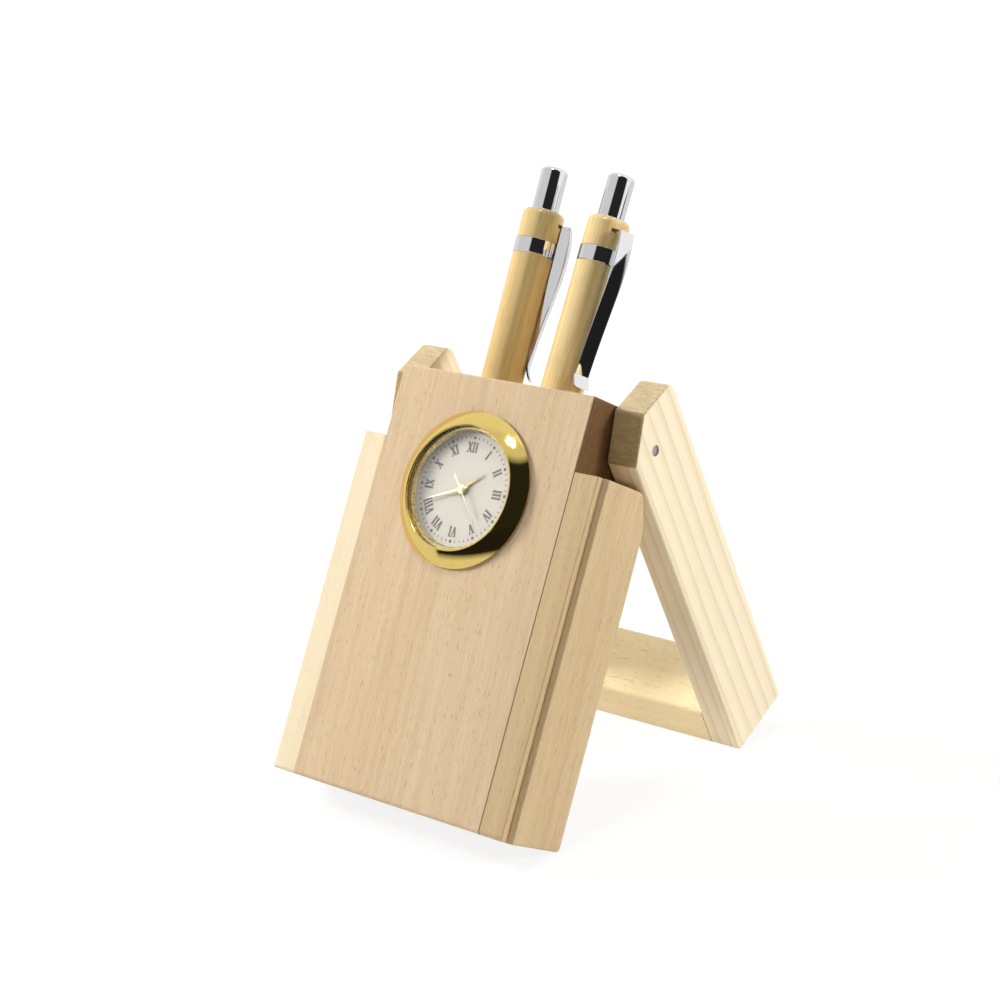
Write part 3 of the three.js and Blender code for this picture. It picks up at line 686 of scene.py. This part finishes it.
# Metals and plastics: colour, lowest and highest roughness, fineness of the spots, bump
GOLD = metal("gold plate", CLOCK_FRAME, (0.93, 0.7, 0.21, 1.0), 0.04, 0.09, 0.5)
RING_GOLD = metal("dial ring gold", CLOCK_FRAME, (0.62, 0.5, 0.2, 1.0), 0.2, 0.32, 0.8)
HAND_GOLD = {name: metal(f"{name} hand gold", CLOCK_FRAME, colour, 0.25, 0.4, 1.5) for name, colour in (
    ("hour", (0.6, 0.5, 0.2, 1.0)), ("minute", (0.9, 0.8, 0.5, 1.0)), ("second", (0.95, 0.88, 0.66, 1.0)))}
CHROME = metal("chrome plate", BOARD_FRAME, (0.84, 0.84, 0.85, 1.0), 0.03, 0.08, 0.4)
PIN_STEEL = metal("pin steel", BOARD_FRAME, (0.55, 0.54, 0.52, 1.0), 0.25, 0.42, 2.5, 0.2)
MOVEMENT_STEEL = metal("movement steel", CLOCK_FRAME, (0.6, 0.6, 0.62, 1.0), 0.25, 0.4, 2.0, 0.15)
MOVEMENT_BRASS = metal("movement brass", CLOCK_FRAME, (0.75, 0.55, 0.22, 1.0), 0.22, 0.36, 2.0, 0.15)
COIL_COPPER = metal("coil copper", CLOCK_FRAME, (0.72, 0.32, 0.14, 1.0), 0.3, 0.45, 4.0, 0.3)
NUMERAL_INK = plastic("numeral ink", CLOCK_FRAME, srgb(84, 76, 74), 0.5, 0.7, 2.0, 0.05)
CASE_BLACK = plastic("case black", CLOCK_FRAME, (0.012, 0.012, 0.013, 1.0), 0.4, 0.55, 3.0)
RUBBER = plastic("sleeve rubber", CLOCK_FRAME, (0.03, 0.03, 0.03, 1.0), 0.7, 0.85, 3.0)
PLATE_WHITE = plastic("plate white", CLOCK_FRAME, (0.75, 0.73, 0.7, 1.0), 0.35, 0.5, 2.0)
CIRCUIT_GREEN = plastic("circuit green", CLOCK_FRAME, (0.02, 0.1, 0.04, 1.0), 0.3, 0.45, 3.0)
REFILL_BLUE = plastic("refill blue", BOARD_FRAME, (0.03, 0.06, 0.22, 1.0), 0.25, 0.35, 1.0, 0.05)
CAM_WHITE = plastic("cam white", BOARD_FRAME, (0.75, 0.74, 0.72, 1.0), 0.35, 0.5, 2.0)
DIAL_CARD = dial_card()
LENS_GLASS = lens_glass()

# Solids that are shown as they are, with their finish
CAD_FINISHES = (
    (PIN_STEEL, "hinge_pin_left hinge_pin_right pen_spring_left pen_spring_right"),
    (CASE_BLACK, "clock_case battery_hatch setting_knob"),
    (RUBBER, "clock_gasket"),
    (PLATE_WHITE, "main_plate back_bridge"),
    (MOVEMENT_BRASS, "hour_wheel minute_wheel centre_wheel third_wheel second_wheel"),
    (MOVEMENT_STEEL, "rotor motor_stator quartz_crystal battery_cell"),
    (COIL_COPPER, "motor_coil"),
    (CIRCUIT_GREEN, "circuit_board"),
    (CAM_WHITE, "pen_cam_left pen_cam_right"),
    (REFILL_BLUE, "pen_refill_left pen_refill_right"),
)


def finish_cad_nodes():
    for material, names in CAD_FINISHES:
        for name in names.split():
            node = frame["nodes"][name]
            node.data.materials.clear()
            node.data.materials.append(material)


# Camera and lights
LAMP_TARGET = Vector((0.0, 0.0, 0.07))
WARM = (1.0, 0.98, 0.95)


def make_camera():
    """The photograph's view, given in the board's own axes in millimetres."""
    data = bpy.data.cameras.new("camera")
    camera = bpy.data.objects.new("camera", data)
    bpy.context.collection.objects.link(camera)
    data.sensor_width = 36.0
    data.lens = 83.94
    data.clip_start = 0.01
    data.clip_end = 50.0
    place = BOARD_FRAME @ Vector((365.68, -452.93, 41.48))
    turn = BOARD_FRAME.to_3x3().normalized()
    right = turn @ Vector((0.77084805, 0.58179576, 0.2594359))
    down = turn @ Vector((0.16507881, 0.21091054, -0.96346548))
    ahead = turn @ Vector((-0.61525789, 0.78551285, 0.06653783))
    camera.matrix_world = shift(*place) @ Matrix((right, -down, -ahead)).transposed().to_4x4()
    bpy.context.scene.camera = camera


def make_lamp(name, azimuth, elevation, distance, size, power, colour, mirrored=False):
    """A soft square lamp; azimuth 0 is in front of the clock and 90 on its right."""
    data = bpy.data.lights.new(name, "AREA")
    data.shape = "SQUARE"
    data.size = size
    data.energy = power
    data.color = colour
    lamp = bpy.data.objects.new(name, data)
    bpy.context.collection.objects.link(lamp)
    across, rise = math.radians(azimuth), math.radians(elevation)
    away = Vector((math.sin(across) * math.cos(rise), -math.cos(across) * math.cos(rise), math.sin(rise)))
    lamp.location = LAMP_TARGET + away * distance
    lamp.rotation_mode = "QUATERNION"
    lamp.rotation_quaternion = (-away).to_track_quat("-Z", "Y")
    lamp.visible_glossy = mirrored


def studio_group():
    """Where the studio is dark to the eye of a mirror: a band of directions in front, on the right."""
    group, given, result = new_group("studio dark", {
        "Vector": "Vector", "From": "Float", "To": "Float", "Edge": "Float",
    }, {"Mask": "Float", "Bearing": "Float"})
    parts = add_node(group, "SeparateXYZ", Vector=given.outputs["Vector"])
    front = times(group, parts.outputs["Y"], -1.0)
    bearing = maths(group, "DEGREES", maths(group, "ARCTAN2", parts.outputs["X"], front))
    after, before = (
        maths(group, "DIVIDE", maths(group, "SUBTRACT", high, low), given.outputs["Edge"], clamp=True)
        for high, low in ((bearing, given.outputs["From"]), (given.outputs["To"], bearing)))
    group.links.new(times(group, after, before), result.inputs["Mask"])
    group.links.new(bearing, result.inputs["Bearing"])
    return group


STUDIO = studio_group()


def straight_on(tree, rays, hit):
    """A mask of rays, without those that a matt surface sends out to gather its light."""
    direct = maths(tree, "SUBTRACT", 1.0, rays.outputs["Diffuse Depth"], clamp=True)
    return times(tree, hit, direct)


def to_the_eye(tree, rays):
    """1 for what the camera sees straight or through the lens."""
    seen = maths(tree, "ADD", rays.outputs["Is Camera Ray"], rays.outputs["Is Transmission Ray"], clamp=True)
    return straight_on(tree, rays, seen)


def in_mirror(tree, rays):
    """1 for what metal mirrors to the camera."""
    return straight_on(tree, rays, rays.outputs["Is Glossy Ray"])


def make_floor():
    """A pale floor: white to the eye, with the object's shadow, and dark in part where metal mirrors it."""
    deselect()
    bpy.ops.mesh.primitive_plane_add(size=12, location=(0, 0, 0))
    floor = new_piece("floor")
    material = bpy.data.materials.new("pale floor")
    material.use_nodes = True
    tree = material.node_tree
    shader = tree.nodes["Principled BSDF"]
    settle(shader, Base_Color=(0.85, 0.84, 0.82, 1.0), Roughness=0.9)
    rays = tree.nodes.new("ShaderNodeLightPath")
    place = tree.nodes.new("ShaderNodeTexCoord").outputs["Object"]
    reach = vector_maths(tree, "LENGTH", "Value", i0=place)
    band = place_group(tree, STUDIO, place, From=-42.0, To=128.0, Edge=4.0).outputs["Mask"]
    dark = times(tree, band, spread(tree, reach, 0.13, 0.18))
    in_metal = in_mirror(tree, rays)
    white = times(tree, to_the_eye(tree, rays), spread(tree, reach, 0.12, 0.45, 0.8, 1.0))
    light = blend(tree, in_metal, (1.08, 1.08, 1.08, 1.0), spread(tree, dark, 0.0, 1.0, 0.8, 0.015))
    glow = add_node(tree, "Emission", Color=light, Strength=1.0)
    show_mix(tree, maths(tree, "MAXIMUM", white, in_metal), shader, glow)
    floor.data.materials.append(material)


def make_world():
    """White to the eye, soft grey light, and a dark band in front on the right where metal mirrors it."""
    world = bpy.data.worlds.new("studio")
    bpy.context.scene.world = world
    world.use_nodes = True
    tree = world.node_tree
    background = tree.nodes["Background"]
    rays = tree.nodes.new("ShaderNodeLightPath")
    direction = tree.nodes.new("ShaderNodeTexCoord").outputs["Generated"]
    parts = add_node(tree, "SeparateXYZ", Vector=direction)
    studio = place_group(tree, STUDIO, direction, From=5.0, To=97.0, Edge=6.0)
    bearing = studio.outputs["Bearing"]
    overhead = spread(tree, parts.outputs["Z"], 0.86, 0.93, 1.0, 0.0)
    dark = times(tree, studio.outputs["Mask"], overhead)
    pale = maths(tree, "MAXIMUM", spread(tree, bearing, -90.0, -65.0, 0.85, 0.7),
                 spread(tree, bearing, 80.0, 90.0))
    strength = blend(tree, in_mirror(tree, rays), spread(tree, dark, 0.0, 1.0, 0.2, 0.06),
                     spread(tree, dark, 0.0, 1.0, pale, 0.02))
    tree.links.new(blend(tree, to_the_eye(tree, rays), strength, (1.0, 1.0, 1.0, 1.0)),
                   background.inputs["Color"])
    background.inputs["Strength"].default_value = 1.0


# Wooden pieces
def near(value, target):
    return abs(value - target) < CLOSE


def all_at(corners, axis, target):
    return all(near(corner[axis], target) for corner in corners)


def crosswise(corners, width):
    """Whether an edge runs across the object for more than half of a width."""
    return abs(corners[0].x - corners[1].x) > width / 2


def make_board():
    """The block with rounded free edges, its bores, the clock's recess and the pins' holes."""
    board = plank("board_wood", (-BOARD_HALF, 0, 0), (BOARD_HALF, BOARD_DEPTH, BOARD_TOP))
    edit(board)
    cut_across([SHOULDER])
    done()
    round_edges(board, HEAD_ROUND, 3, lambda c: all_at(c, 2, BOARD_TOP) if near(c[0].z, c[1].z)
                else min(corner.z for corner in c) > SHOULDER - CLOSE)
    round_edges(board, FOOT_ROUND, 5, lambda c: all_at(c, 2, 0) and all_at(c, 1, c[0].y))
    tools = []
    for word, side in SIDES:
        mouth = BORE_RADIUS + 0.9
        hole = turned(f"bore_{word}", [
            (1.5, -5.1), (1.5, -0.3), (BORE_RADIUS, -0.29), (BORE_RADIUS, PEN_SUNK - 0.5),
            (mouth, PEN_SUNK + 0.4), (mouth, PEN_SUNK + 3)], 64)
        tools.append(turn_mesh(hole, BOARD_FRAME.inverted() @ pen_frame(side)))
        pin_hole = bar(f"pin_hole_{word}", PIN_RADIUS + ROOM, -12.0, 2.0, 32)
        place = shift(side * BOARD_HALF, PIN_DEPTH, PIN_HEIGHT) @ spin(side * math.pi / 2, "Y")
        tools.append(turn_mesh(pin_hole, place))
    recess = bar("recess", RECESS_RADIUS, -1.0, RECESS_DEPTH, 96)
    tools.append(turn_mesh(recess, shift(CLOCK_SIDE, 0, CLOCK_HEIGHT) @ spin(-math.pi / 2, "X")))
    carve(board, *tools)
    finished(board, BOARD_FRAME, "board", PANEL_WOOD, "body_board", flat=True)


def make_cheeks():
    """Side boards with a small rabbet down the outer front edge and a rounded rear top."""
    low, high = BOARD_HALF, BOARD_HALF + CHEEK
    step = high - RABBET_WIDTH
    cheek = plank("cheek_wood_right", (low, 0, 0), (high, BOARD_DEPTH, SHOULDER))
    slope = Vector((0, CHEEK_CUT, BOARD_DEPTH - CHEEK_REST))
    slice_off(cheek, (low, CHEEK_REST, SHOULDER), slope.normalized())
    # The rear face leans in slightly towards the top, where the legs rest
    slice_off(cheek, (low, BOARD_DEPTH - 0.1, 72.0), (0, 1, 0.012))
    round_edges(cheek, CHEEK_BEND, 8, lambda c: all_at(c, 2, c[0].z) and crosswise(c, CHEEK)
                and c[0].y > 20.5 and 76 < c[0].z < 84)
    round_edges(cheek, CHEEK_TIP, 4, lambda c: crosswise(c, CHEEK) and c[0].y > 15
                and c[0].z > SHOULDER - 1)
    carve(cheek, plank("rabbet", (step, -5, -5), (high + 5, RABBET_DEPTH, SHOULDER + 5)))
    round_edges(cheek, FOOT_ROUND, 5, lambda c: all_at(c, 2, 0) and
                (all_at(c, 1, BOARD_DEPTH) or all_at(c, 1, 0)))
    round_edges(cheek, CHEEK_EDGE, 3, lambda c: all_at(c, 0, high) or all_at(c, 0, step) and all_at(c, 1, 0))
    left = twin(cheek, "cheek_wood_left", MIRROR)
    finished(cheek, BOARD_FRAME, "board", CHEEK_RIGHT_WOOD, "cheek_right", 40, flat=True)
    finished(left, BOARD_FRAME, "board", CHEEK_LEFT_WOOD, "cheek_left", 40, flat=True)


def make_legs():
    """Straight legs, sawn at a slant above the pin, with their rear top corner rounded."""
    low = BOARD_HALF + LEG_GAP
    high = low + LEG
    leg = plank("leg_wood_right", (low, LEG_FRONT, LEG_BELOW), (high, LEG_BACK, LEG_ABOVE))
    slice_off(leg, (low, LEG_FRONT + LEG_CUT_DEPTH, LEG_ABOVE), LEG_CUT)
    round_edges(leg, LEG_FOOT, 4, lambda c: crosswise(c, LEG) and c[0].z < LEG_BELOW + 1)
    round_edges(leg, LEG_CORNER, 6, lambda c: crosswise(c, LEG) and c[0].y > LEG_BACK - 1
                and c[0].z > LEG_ABOVE - 1)
    round_edges(leg, LEG_SAWN, 3, lambda c: crosswise(c, LEG) and c[0].z > 0 and c[0].y < LEG_BACK - 3)
    round_edges(leg, LEG_SIDE, 4, lambda c: all_at(c, 0, low) or all_at(c, 0, high))
    hole = bar("pin_hole", PIN_RADIUS + ROOM, -30.0, 30.0, 40)
    carve(leg, turn_mesh(hole, shift(low, 0, 0) @ spin(math.pi / 2, "Y")))
    left = twin(leg, "leg_wood_left", MIRROR)
    finished(leg, LEG_FRAME, "frame", LEG_WOOD, "leg_right", 40, flat=True)
    finished(left, LEG_FRAME, "frame", LEG_WOOD, "leg_left", 40, flat=True)


def make_crossbar():
    """The bar between the legs' feet, flush with them, its long edges rounded."""
    half = BOARD_HALF + LEG_GAP
    top = LEG_BELOW + BAR_HEIGHT
    crossbar = plank("crossbar_wood", (-half, LEG_FRONT, LEG_BELOW), (half, LEG_BACK, top))
    round_edges(crossbar, FOOT_ROUND, 5, lambda c: crosswise(c, 2 * half))
    finished(crossbar, LEG_FRAME, "frame", BAR_WOOD, "crossbar", 40, flat=True)


# The clock
def make_bezel():
    """A domed ring that slopes outwards from a rounded lip over the lens."""
    lip = LENS_TOP + 0.05
    inner = BEZEL_OPENING + BEZEL_EDGE
    seat = LENS_RADIUS + 0.15
    slope = [[(1 - t) ** 2 * start + 2 * t * (1 - t) * bend + t ** 2 * end for start, bend, end in
              zip((BEZEL_RADIUS, BEZEL_FOOT), BEZEL_BEND, (inner, BEZEL_RISE))]
             for t in (step / 24 for step in range(25))]
    profile = [(CASE_ROOM, BEZEL_LIFT), (BEZEL_RADIUS - 0.12, BEZEL_LIFT), (BEZEL_RADIUS, BEZEL_LIFT + 0.12),
               *slope, *arc((inner, BEZEL_RISE - BEZEL_EDGE), BEZEL_EDGE, 100, 180, 6),
               (BEZEL_OPENING, lip), (seat, lip), (seat, LENS_BOTTOM), (CASE_ROOM, LENS_BOTTOM)]
    bezel = turned("bezel_gold", profile, 160, closed=True)
    finished(bezel, CLOCK_FRAME, "clock", GOLD, "clock_bezel", 35)


def make_lens():
    lens = turned("lens_glass", [
        (LENS_RADIUS - 0.1, LENS_BOTTOM), (LENS_RADIUS, LENS_BOTTOM + 0.1), (LENS_RADIUS, LENS_TOP - 0.1),
        (LENS_RADIUS - 0.1, LENS_TOP)], 128)
    finished(lens, CLOCK_FRAME, "clock", LENS_GLASS, "clock_lens")


def make_dial():
    """The dial card, and the bright ring that slopes from its rim up to the lens."""
    back = DIAL_TOP - 0.4
    dial = turned("dial_card", [(DIAL_HOLE, back), (DIAL_RADIUS, back), (DIAL_RADIUS, DIAL_TOP),
                                (DIAL_HOLE, DIAL_TOP)], 128, closed=True)
    finished(dial, CLOCK_FRAME, "clock", DIAL_CARD, "clock_dial")
    bottom = DIAL_TOP + 0.12
    top = LENS_BOTTOM - 0.15
    under = top - 0.3
    ring = turned("dial_ring_gold", [
        (RING_INNER, bottom), (RING_OUTER, bottom), (RING_OUTER, under), (RING_FLANGE, under),
        (RING_FLANGE, top - 0.05), (RING_FLANGE - 0.05, top), (RING_OUTER - 0.2, top),
        (RING_OUTER - 0.25, top - 0.1), (RING_INNER + 0.08, bottom + 0.2),
        (RING_INNER, bottom + 0.1)], 128, closed=True)
    finished(ring, CLOCK_FRAME, "clock", RING_GOLD, "dial_ring", 35)


def stroke(start, end, width):
    """A flat bar of ink between two points."""
    deselect()
    run = Vector(end) - Vector(start)
    middle = (Vector(start) + Vector(end)) / 2
    bpy.ops.mesh.primitive_cube_add(
        size=1, location=(middle.x, middle.y, 0), scale=(width, run.length, PRINT),
        rotation=(0, 0, math.atan2(run.y, run.x) - math.pi / 2))
    return new_piece("stroke")


def letter(kind, height):
    """One Roman letter with serifs, centred on x and y, and its width."""
    top, half, width = height / 2, height * 0.21, height * 0.64
    thick, thin, serif, reach = height * 0.22, height * 0.12, height * 0.1, height * 0.14
    if kind == "I":
        width = height * 0.36
        strokes = [((0, -top), (0, top), thick)]
        feet = [(0, top), (0, -top)]
    elif kind == "V":
        strokes = [((-half, top), (0, -top), thick), ((half, top), (0, -top), thin)]
        feet = [(-half, top), (half, top)]
    else:
        strokes = [((-half, top), (half, -top), thick), ((half, top), (-half, -top), thin)]
        feet = [(-half, top), (half, top), (-half, -top), (half, -top)]
    pieces = [stroke(*ends, breadth) for *ends, breadth in strokes]
    pieces += [stroke((x - reach, y), (x + reach, y), serif) for x, y in feet]
    return joined(*pieces), width


def make_numerals():
    """Roman hours with their feet to the centre, a dot at each hour and ticks for the minutes between."""
    height, radius, track = 2.45, 10.9, 13.35
    hours = "XII I II III IV V VI VII VIII IX X XI".split()
    letters = {kind: letter(kind, height) for kind in "IVX"}
    lift = DIAL_TOP + PRINT / 2
    marks = []
    for hour, text in enumerate(hours):
        widths = [letters[kind][1] for kind in text]
        start = -sum(widths) / 2
        turn = spin(-hour * math.pi / 6, "Z")
        for kind, width in zip(text, widths):
            place = turn @ shift(start + width / 2, radius, lift)
            marks.append(twin(letters[kind][0], "numeral", place))
            start += width
    for piece, _ in letters.values():
        bpy.data.objects.remove(piece)
    dot = bar("dot", DOT_RADIUS, -PRINT / 2, PRINT / 2, 20)
    tick = stroke((0, -TICK_HALF), (0, TICK_HALF), TICK_WIDTH)
    for minute in range(60):
        mark = tick if minute % 5 else dot
        place = spin(-minute * math.pi / 30, "Z") @ shift(0, track, lift)
        marks.append(twin(mark, "numeral", place))
    for mark in (dot, tick):
        bpy.data.objects.remove(mark)
    numerals = joined(*marks)
    numerals.name = numerals.data.name = "dial_numerals"
    finished(numerals, CLOCK_FRAME @ spin(DIAL_TURN, "Z"), "clock", NUMERAL_INK)


# Each hand's length, width, tail, height in the clock, hub and hole radius, share of a turn, body
HANDS = {
    "hour": (7.6, 1.25, 1.9, 0.75, 1.5, 0.74, 101.3 / 60 / 12, "hours"),
    "minute": (10.6, 1.0, 2.1, 1.1, 1.2, 0.4, 41.3 / 60, "minutes"),
    "second": (12.2, 0.45, 4.4, 1.45, 0.8, 0.0, 23 / 60, "seconds"),
}
TIP_SHARE = 0.1
TAIL_SHARE = 0.6
HAND_THICK = 0.2


def make_hands():
    """Slim hands, widest a little way out from a round hub and tapered to the tip and the tail."""
    for name, (length, width, tail, lift, hub_radius, hole, turn, body) in HANDS.items():
        widest = length * 0.18
        blade = plank(f"{name}_hand_gold", (-width / 2, -tail, 0), (width / 2, length, HAND_THICK))
        edit(blade)
        select(blade, "verts", lambda c: c[0].y > 0)
        bpy.ops.transform.resize(value=(TIP_SHARE, 1, 1), center_override=(0, 0, 0))
        select(blade, "verts", lambda c: c[0].y < 0)
        bpy.ops.transform.resize(value=(TAIL_SHARE, 1, 1), center_override=(0, 0, 0))
        bpy.ops.mesh.select_all(action="SELECT")
        bpy.ops.mesh.bisect(plane_co=(0, widest, 0), plane_no=(0, 1, 0))
        select(blade, "verts", lambda c, y=widest: near(c[0].y, y))
        middle = TIP_SHARE + (1 - TIP_SHARE) * (length - widest) / (length + tail)
        bpy.ops.transform.resize(value=(1 / middle, 1, 1), center_override=(0, 0, 0))
        done()
        ease(blade, 0.05)
        unite(blade, turned("hub", [
            (hub_radius - 0.04, 0.0), (hub_radius, 0.04), (hub_radius, 0.17),
            (hub_radius - 0.05, HAND_THICK)], 48))
        if hole:
            carve(blade, bar("arbor_hole", hole, -1.0, 1.0, 32))
        place = CLOCK_FRAME @ spin(-2 * math.pi * turn, "Z") @ shift(0, 0, lift)
        finished(blade, place, body, HAND_GOLD[name], f"{name}_hand")


# The pens
def make_pen(word, side):
    """A bamboo barrel and cap with a metal ring between them, and what they hold."""
    place = pen_frame(side)
    body = f"pen_{word}"
    wood_finish = bamboo(f"bamboo {word}", place @ spin(BAMBOO_TURN * side, "Z"))
    barrel = turned(f"pen_barrel_bamboo_{word}", [
        (NECK_ROOM, BARREL_BOTTOM), (BARREL_RADIUS - 0.1, BARREL_BOTTOM),
        (BARREL_RADIUS, BARREL_BOTTOM + 0.1), (BARREL_RADIUS, 60.0), (BARREL_RADIUS, 100.0),
        (BARREL_RADIUS, BARREL_TOP - 0.1), (BARREL_RADIUS - 0.1, BARREL_TOP), (BARREL_BORE, BARREL_TOP),
        (BARREL_BORE, NECK_TOP), (NECK_ROOM, NECK_TOP)], 72, closed=True)
    finished(barrel, place, body, wood_finish, f"pen_barrel_{word}")
    proud = BARREL_RADIUS + 0.12
    foot = BARREL_TOP + 0.02
    ring = turned(f"pen_ring_chrome_{word}", [
        (BARREL_BORE, foot), (proud - 0.15, foot), (proud, foot + 0.15), (proud, BAND_TOP - 0.15),
        (proud - 0.15, BAND_TOP), (BARREL_BORE, BAND_TOP)], 96, closed=True)
    finished(ring, place, body, CHROME, f"pen_band_{word}")
    round_over = arc((BARREL_RADIUS - CAP_ROUND, CAP_TOP - CAP_ROUND), CAP_ROUND, 0, 90, 8)
    hole = PLUNGER_RADIUS + ROOM
    cap = turned(f"pen_cap_bamboo_{word}", [
        (hole, BAND_TOP + 0.02), (BARREL_RADIUS, BAND_TOP + 0.02), *round_over,
        (hole, CAP_TOP)], 72, closed=True)
    carve(cap, plank("slot", (BARREL_RADIUS - 1.4, -CLIP_HALF - SLOT_ROOM, CLIP_TOP - CLIP_WALL - SLOT_ROOM),
                     (BARREL_RADIUS + 2, CLIP_HALF + SLOT_ROOM, CLIP_TOP + SLOT_ROOM)))
    turned_place = place @ spin(CLIP_TURN[word], "Z")
    finished(cap, turned_place, body, wood_finish, f"pen_cap_{word}")
    make_nose(word, place, body)
    make_plunger(word, place)
    make_clip(word, turned_place)


def make_nose(word, place, body):
    """A tapered metal nose with the hole for the refill and a neck that goes up into the barrel."""
    wall = [(1.6 + 3.9 * math.sin(math.radians(90 * i / 12)), NOSE_HEIGHT * i / 12) for i in range(13)]
    nose = turned(f"pen_nose_steel_{word}", [
        (1.15, 0.05), (1.5, 0.0), *wall[1:], (4.3, NOSE_HEIGHT), (4.3, 24.0), (2.7, 24.0), (2.7, 8.5),
        (1.15, 8.5)], 64, closed=True)
    finished(nose, place, body, PIN_STEEL, f"pen_nose_{word}")


def make_plunger(word, place):
    """The button: a round bar with a rounded top."""
    top = arc((PLUNGER_RADIUS - PLUNGER_ROUND, PEN_TOP - PLUNGER_ROUND - 0.05), PLUNGER_ROUND, 0, 90, 8)
    plunger = turned(f"pen_plunger_chrome_{word}", [
        (PLUNGER_RADIUS - 0.1, CAP_TOP - 12), (PLUNGER_RADIUS, CAP_TOP - 11.9),
        (PLUNGER_RADIUS, CAP_TOP - 5), (PLUNGER_RADIUS, CAP_TOP + 5), *top,
        (PLUNGER_RADIUS - 1.8, PEN_TOP - 0.05)], 72)
    finished(plunger, place, f"plunger_{word}", CHROME, f"pen_plunger_{word}")


def clip_face(height):
    """How far the clip's outer face stands from the pen's axis at a height, on a smooth curve."""
    share = (height - CLIP_TOUCH) / (CLIP_TOP - CLIP_TOUCH)
    points = CLIP_OUTLINE
    last = len(points) - 1
    i = max(k for k in range(last) if points[k][0] <= share or k == 0)
    (a, low), (b, high) = points[i], points[i + 1]

    def slope(k):
        before, after = points[max(k - 1, 0)], points[min(k + 1, last)]
        return (after[1] - before[1]) / (after[0] - before[0])
    t = (share - a) / (b - a)
    bow = (2 * t ** 3 - 3 * t ** 2 + 1) * low + (t ** 3 - 2 * t ** 2 + t) * (b - a) * slope(i) + \
        (3 * t ** 2 - 2 * t ** 3) * high + (t ** 3 - t ** 2) * (b - a) * slope(i + 1)
    return BARREL_RADIUS + CLIP_BOW * bow


def bowed(name, inside, half, top, shrink):
    """A bar along the pen whose outer side follows the clip's curve, less a wall's thickness."""
    limit = BARREL_RADIUS + CLIP_BOW + 1.0
    sheet = plank(name, (inside, -half, CLIP_TOUCH), (limit, half, top))
    heights = [CLIP_TOUCH + (top - CLIP_TOUCH) * i / CLIP_STEPS for i in range(CLIP_STEPS + 1)]
    edit(sheet)
    cut_across(heights[1:-1])
    for height in heights:
        select(sheet, "verts", lambda c, z=height: near(c[0].z, z) and near(c[0].x, limit))
        out = max(clip_face(height) - shrink, inside + 0.02)
        bpy.ops.transform.translate(value=(out - limit, 0, 0))
    select(sheet, "verts", lambda c: near(c[0].x, inside))
    bpy.ops.transform.resize(value=(1, CLIP_SPLAY, 1), center_override=(0, 0, 0))
    done()
    return sheet


def make_clip(word, place):
    """A sprung clip of folded sheet: a bowed face, two side walls, a root in the cap and a flared end."""
    clip = bowed(f"pen_clip_chrome_{word}", CLIP_INSIDE, CLIP_HALF, CLIP_TOP, 0.0)
    round_edges(clip, CLIP_ROUND, 4, lambda c: abs(c[0].z - c[1].z) > 0.1 and all(
        abs(abs(p.y) - CLIP_HALF) < 0.01 and p.x > CLIP_INSIDE + 0.3 for p in c))
    round_edges(clip, CLIP_ROUND, 4, lambda c: abs(c[0].y - c[1].y) > 1.0 and all(
        near(p.z, CLIP_TOP) and p.x > CLIP_INSIDE + 0.5 for p in c))
    hollow = bowed("hollow", CLIP_INSIDE - 1.0, CLIP_HALF - CLIP_WALL, CLIP_TOP - CLIP_WALL, CLIP_WALL)
    carve(clip, hollow)
    root_half = CLIP_HALF * CLIP_SPLAY - 0.03
    root = plank("root", (BARREL_RADIUS - 0.9, -root_half, CLIP_TOP - CLIP_WALL + 0.02),
                 (CLIP_INSIDE + 0.6, root_half, CLIP_TOP - 0.02))
    heel = CLIP_TOUCH + 0.3
    flare = plank("flare", (CLIP_INSIDE + 0.01, -CLIP_HALF + 0.03, CLIP_END),
                  (CLIP_INSIDE + CLIP_WALL, CLIP_HALF - 0.03, heel))
    heights = [CLIP_END + (heel - CLIP_END) * step / 8 for step in range(8)]
    edit(flare)
    cut_across(heights[1:])
    for step, height in enumerate(heights):
        select(flare, "verts", lambda c, z=height: near(c[0].z, z))
        bpy.ops.transform.translate(value=(CLIP_FLARE * (1 - step / 8) ** 1.4, 0, 0))
    done()
    round_edges(flare, 0.9, 5, lambda c: near(c[0].z, CLIP_END) and near(c[1].z, CLIP_END)
                and near(c[0].y, c[1].y))
    unite(clip, root, flare)
    finished(clip, place, f"clip_{word}", CHROME, f"pen_clip_{word}", 25)


bpy.context.scene.view_settings.view_transform = "Standard"
make_camera()
make_world()
make_floor()
make_lamp("key lamp", -67, 24, 0.8, 0.16, 6.7, WARM)
make_lamp("right lamp", 114, 20, 1.0, 0.25, 6.8, WARM)
make_lamp("top lamp", 10, 82, 1.1, 0.17, 4.0, (1.0, 1.0, 1.0), mirrored=True)
make_board()
make_cheeks()
make_legs()
make_crossbar()
make_bezel()
make_lens()
make_dial()
make_numerals()
make_hands()
for pen_word, pen_side in SIDES:
    make_pen(pen_word, pen_side)
finish_cad_nodes()
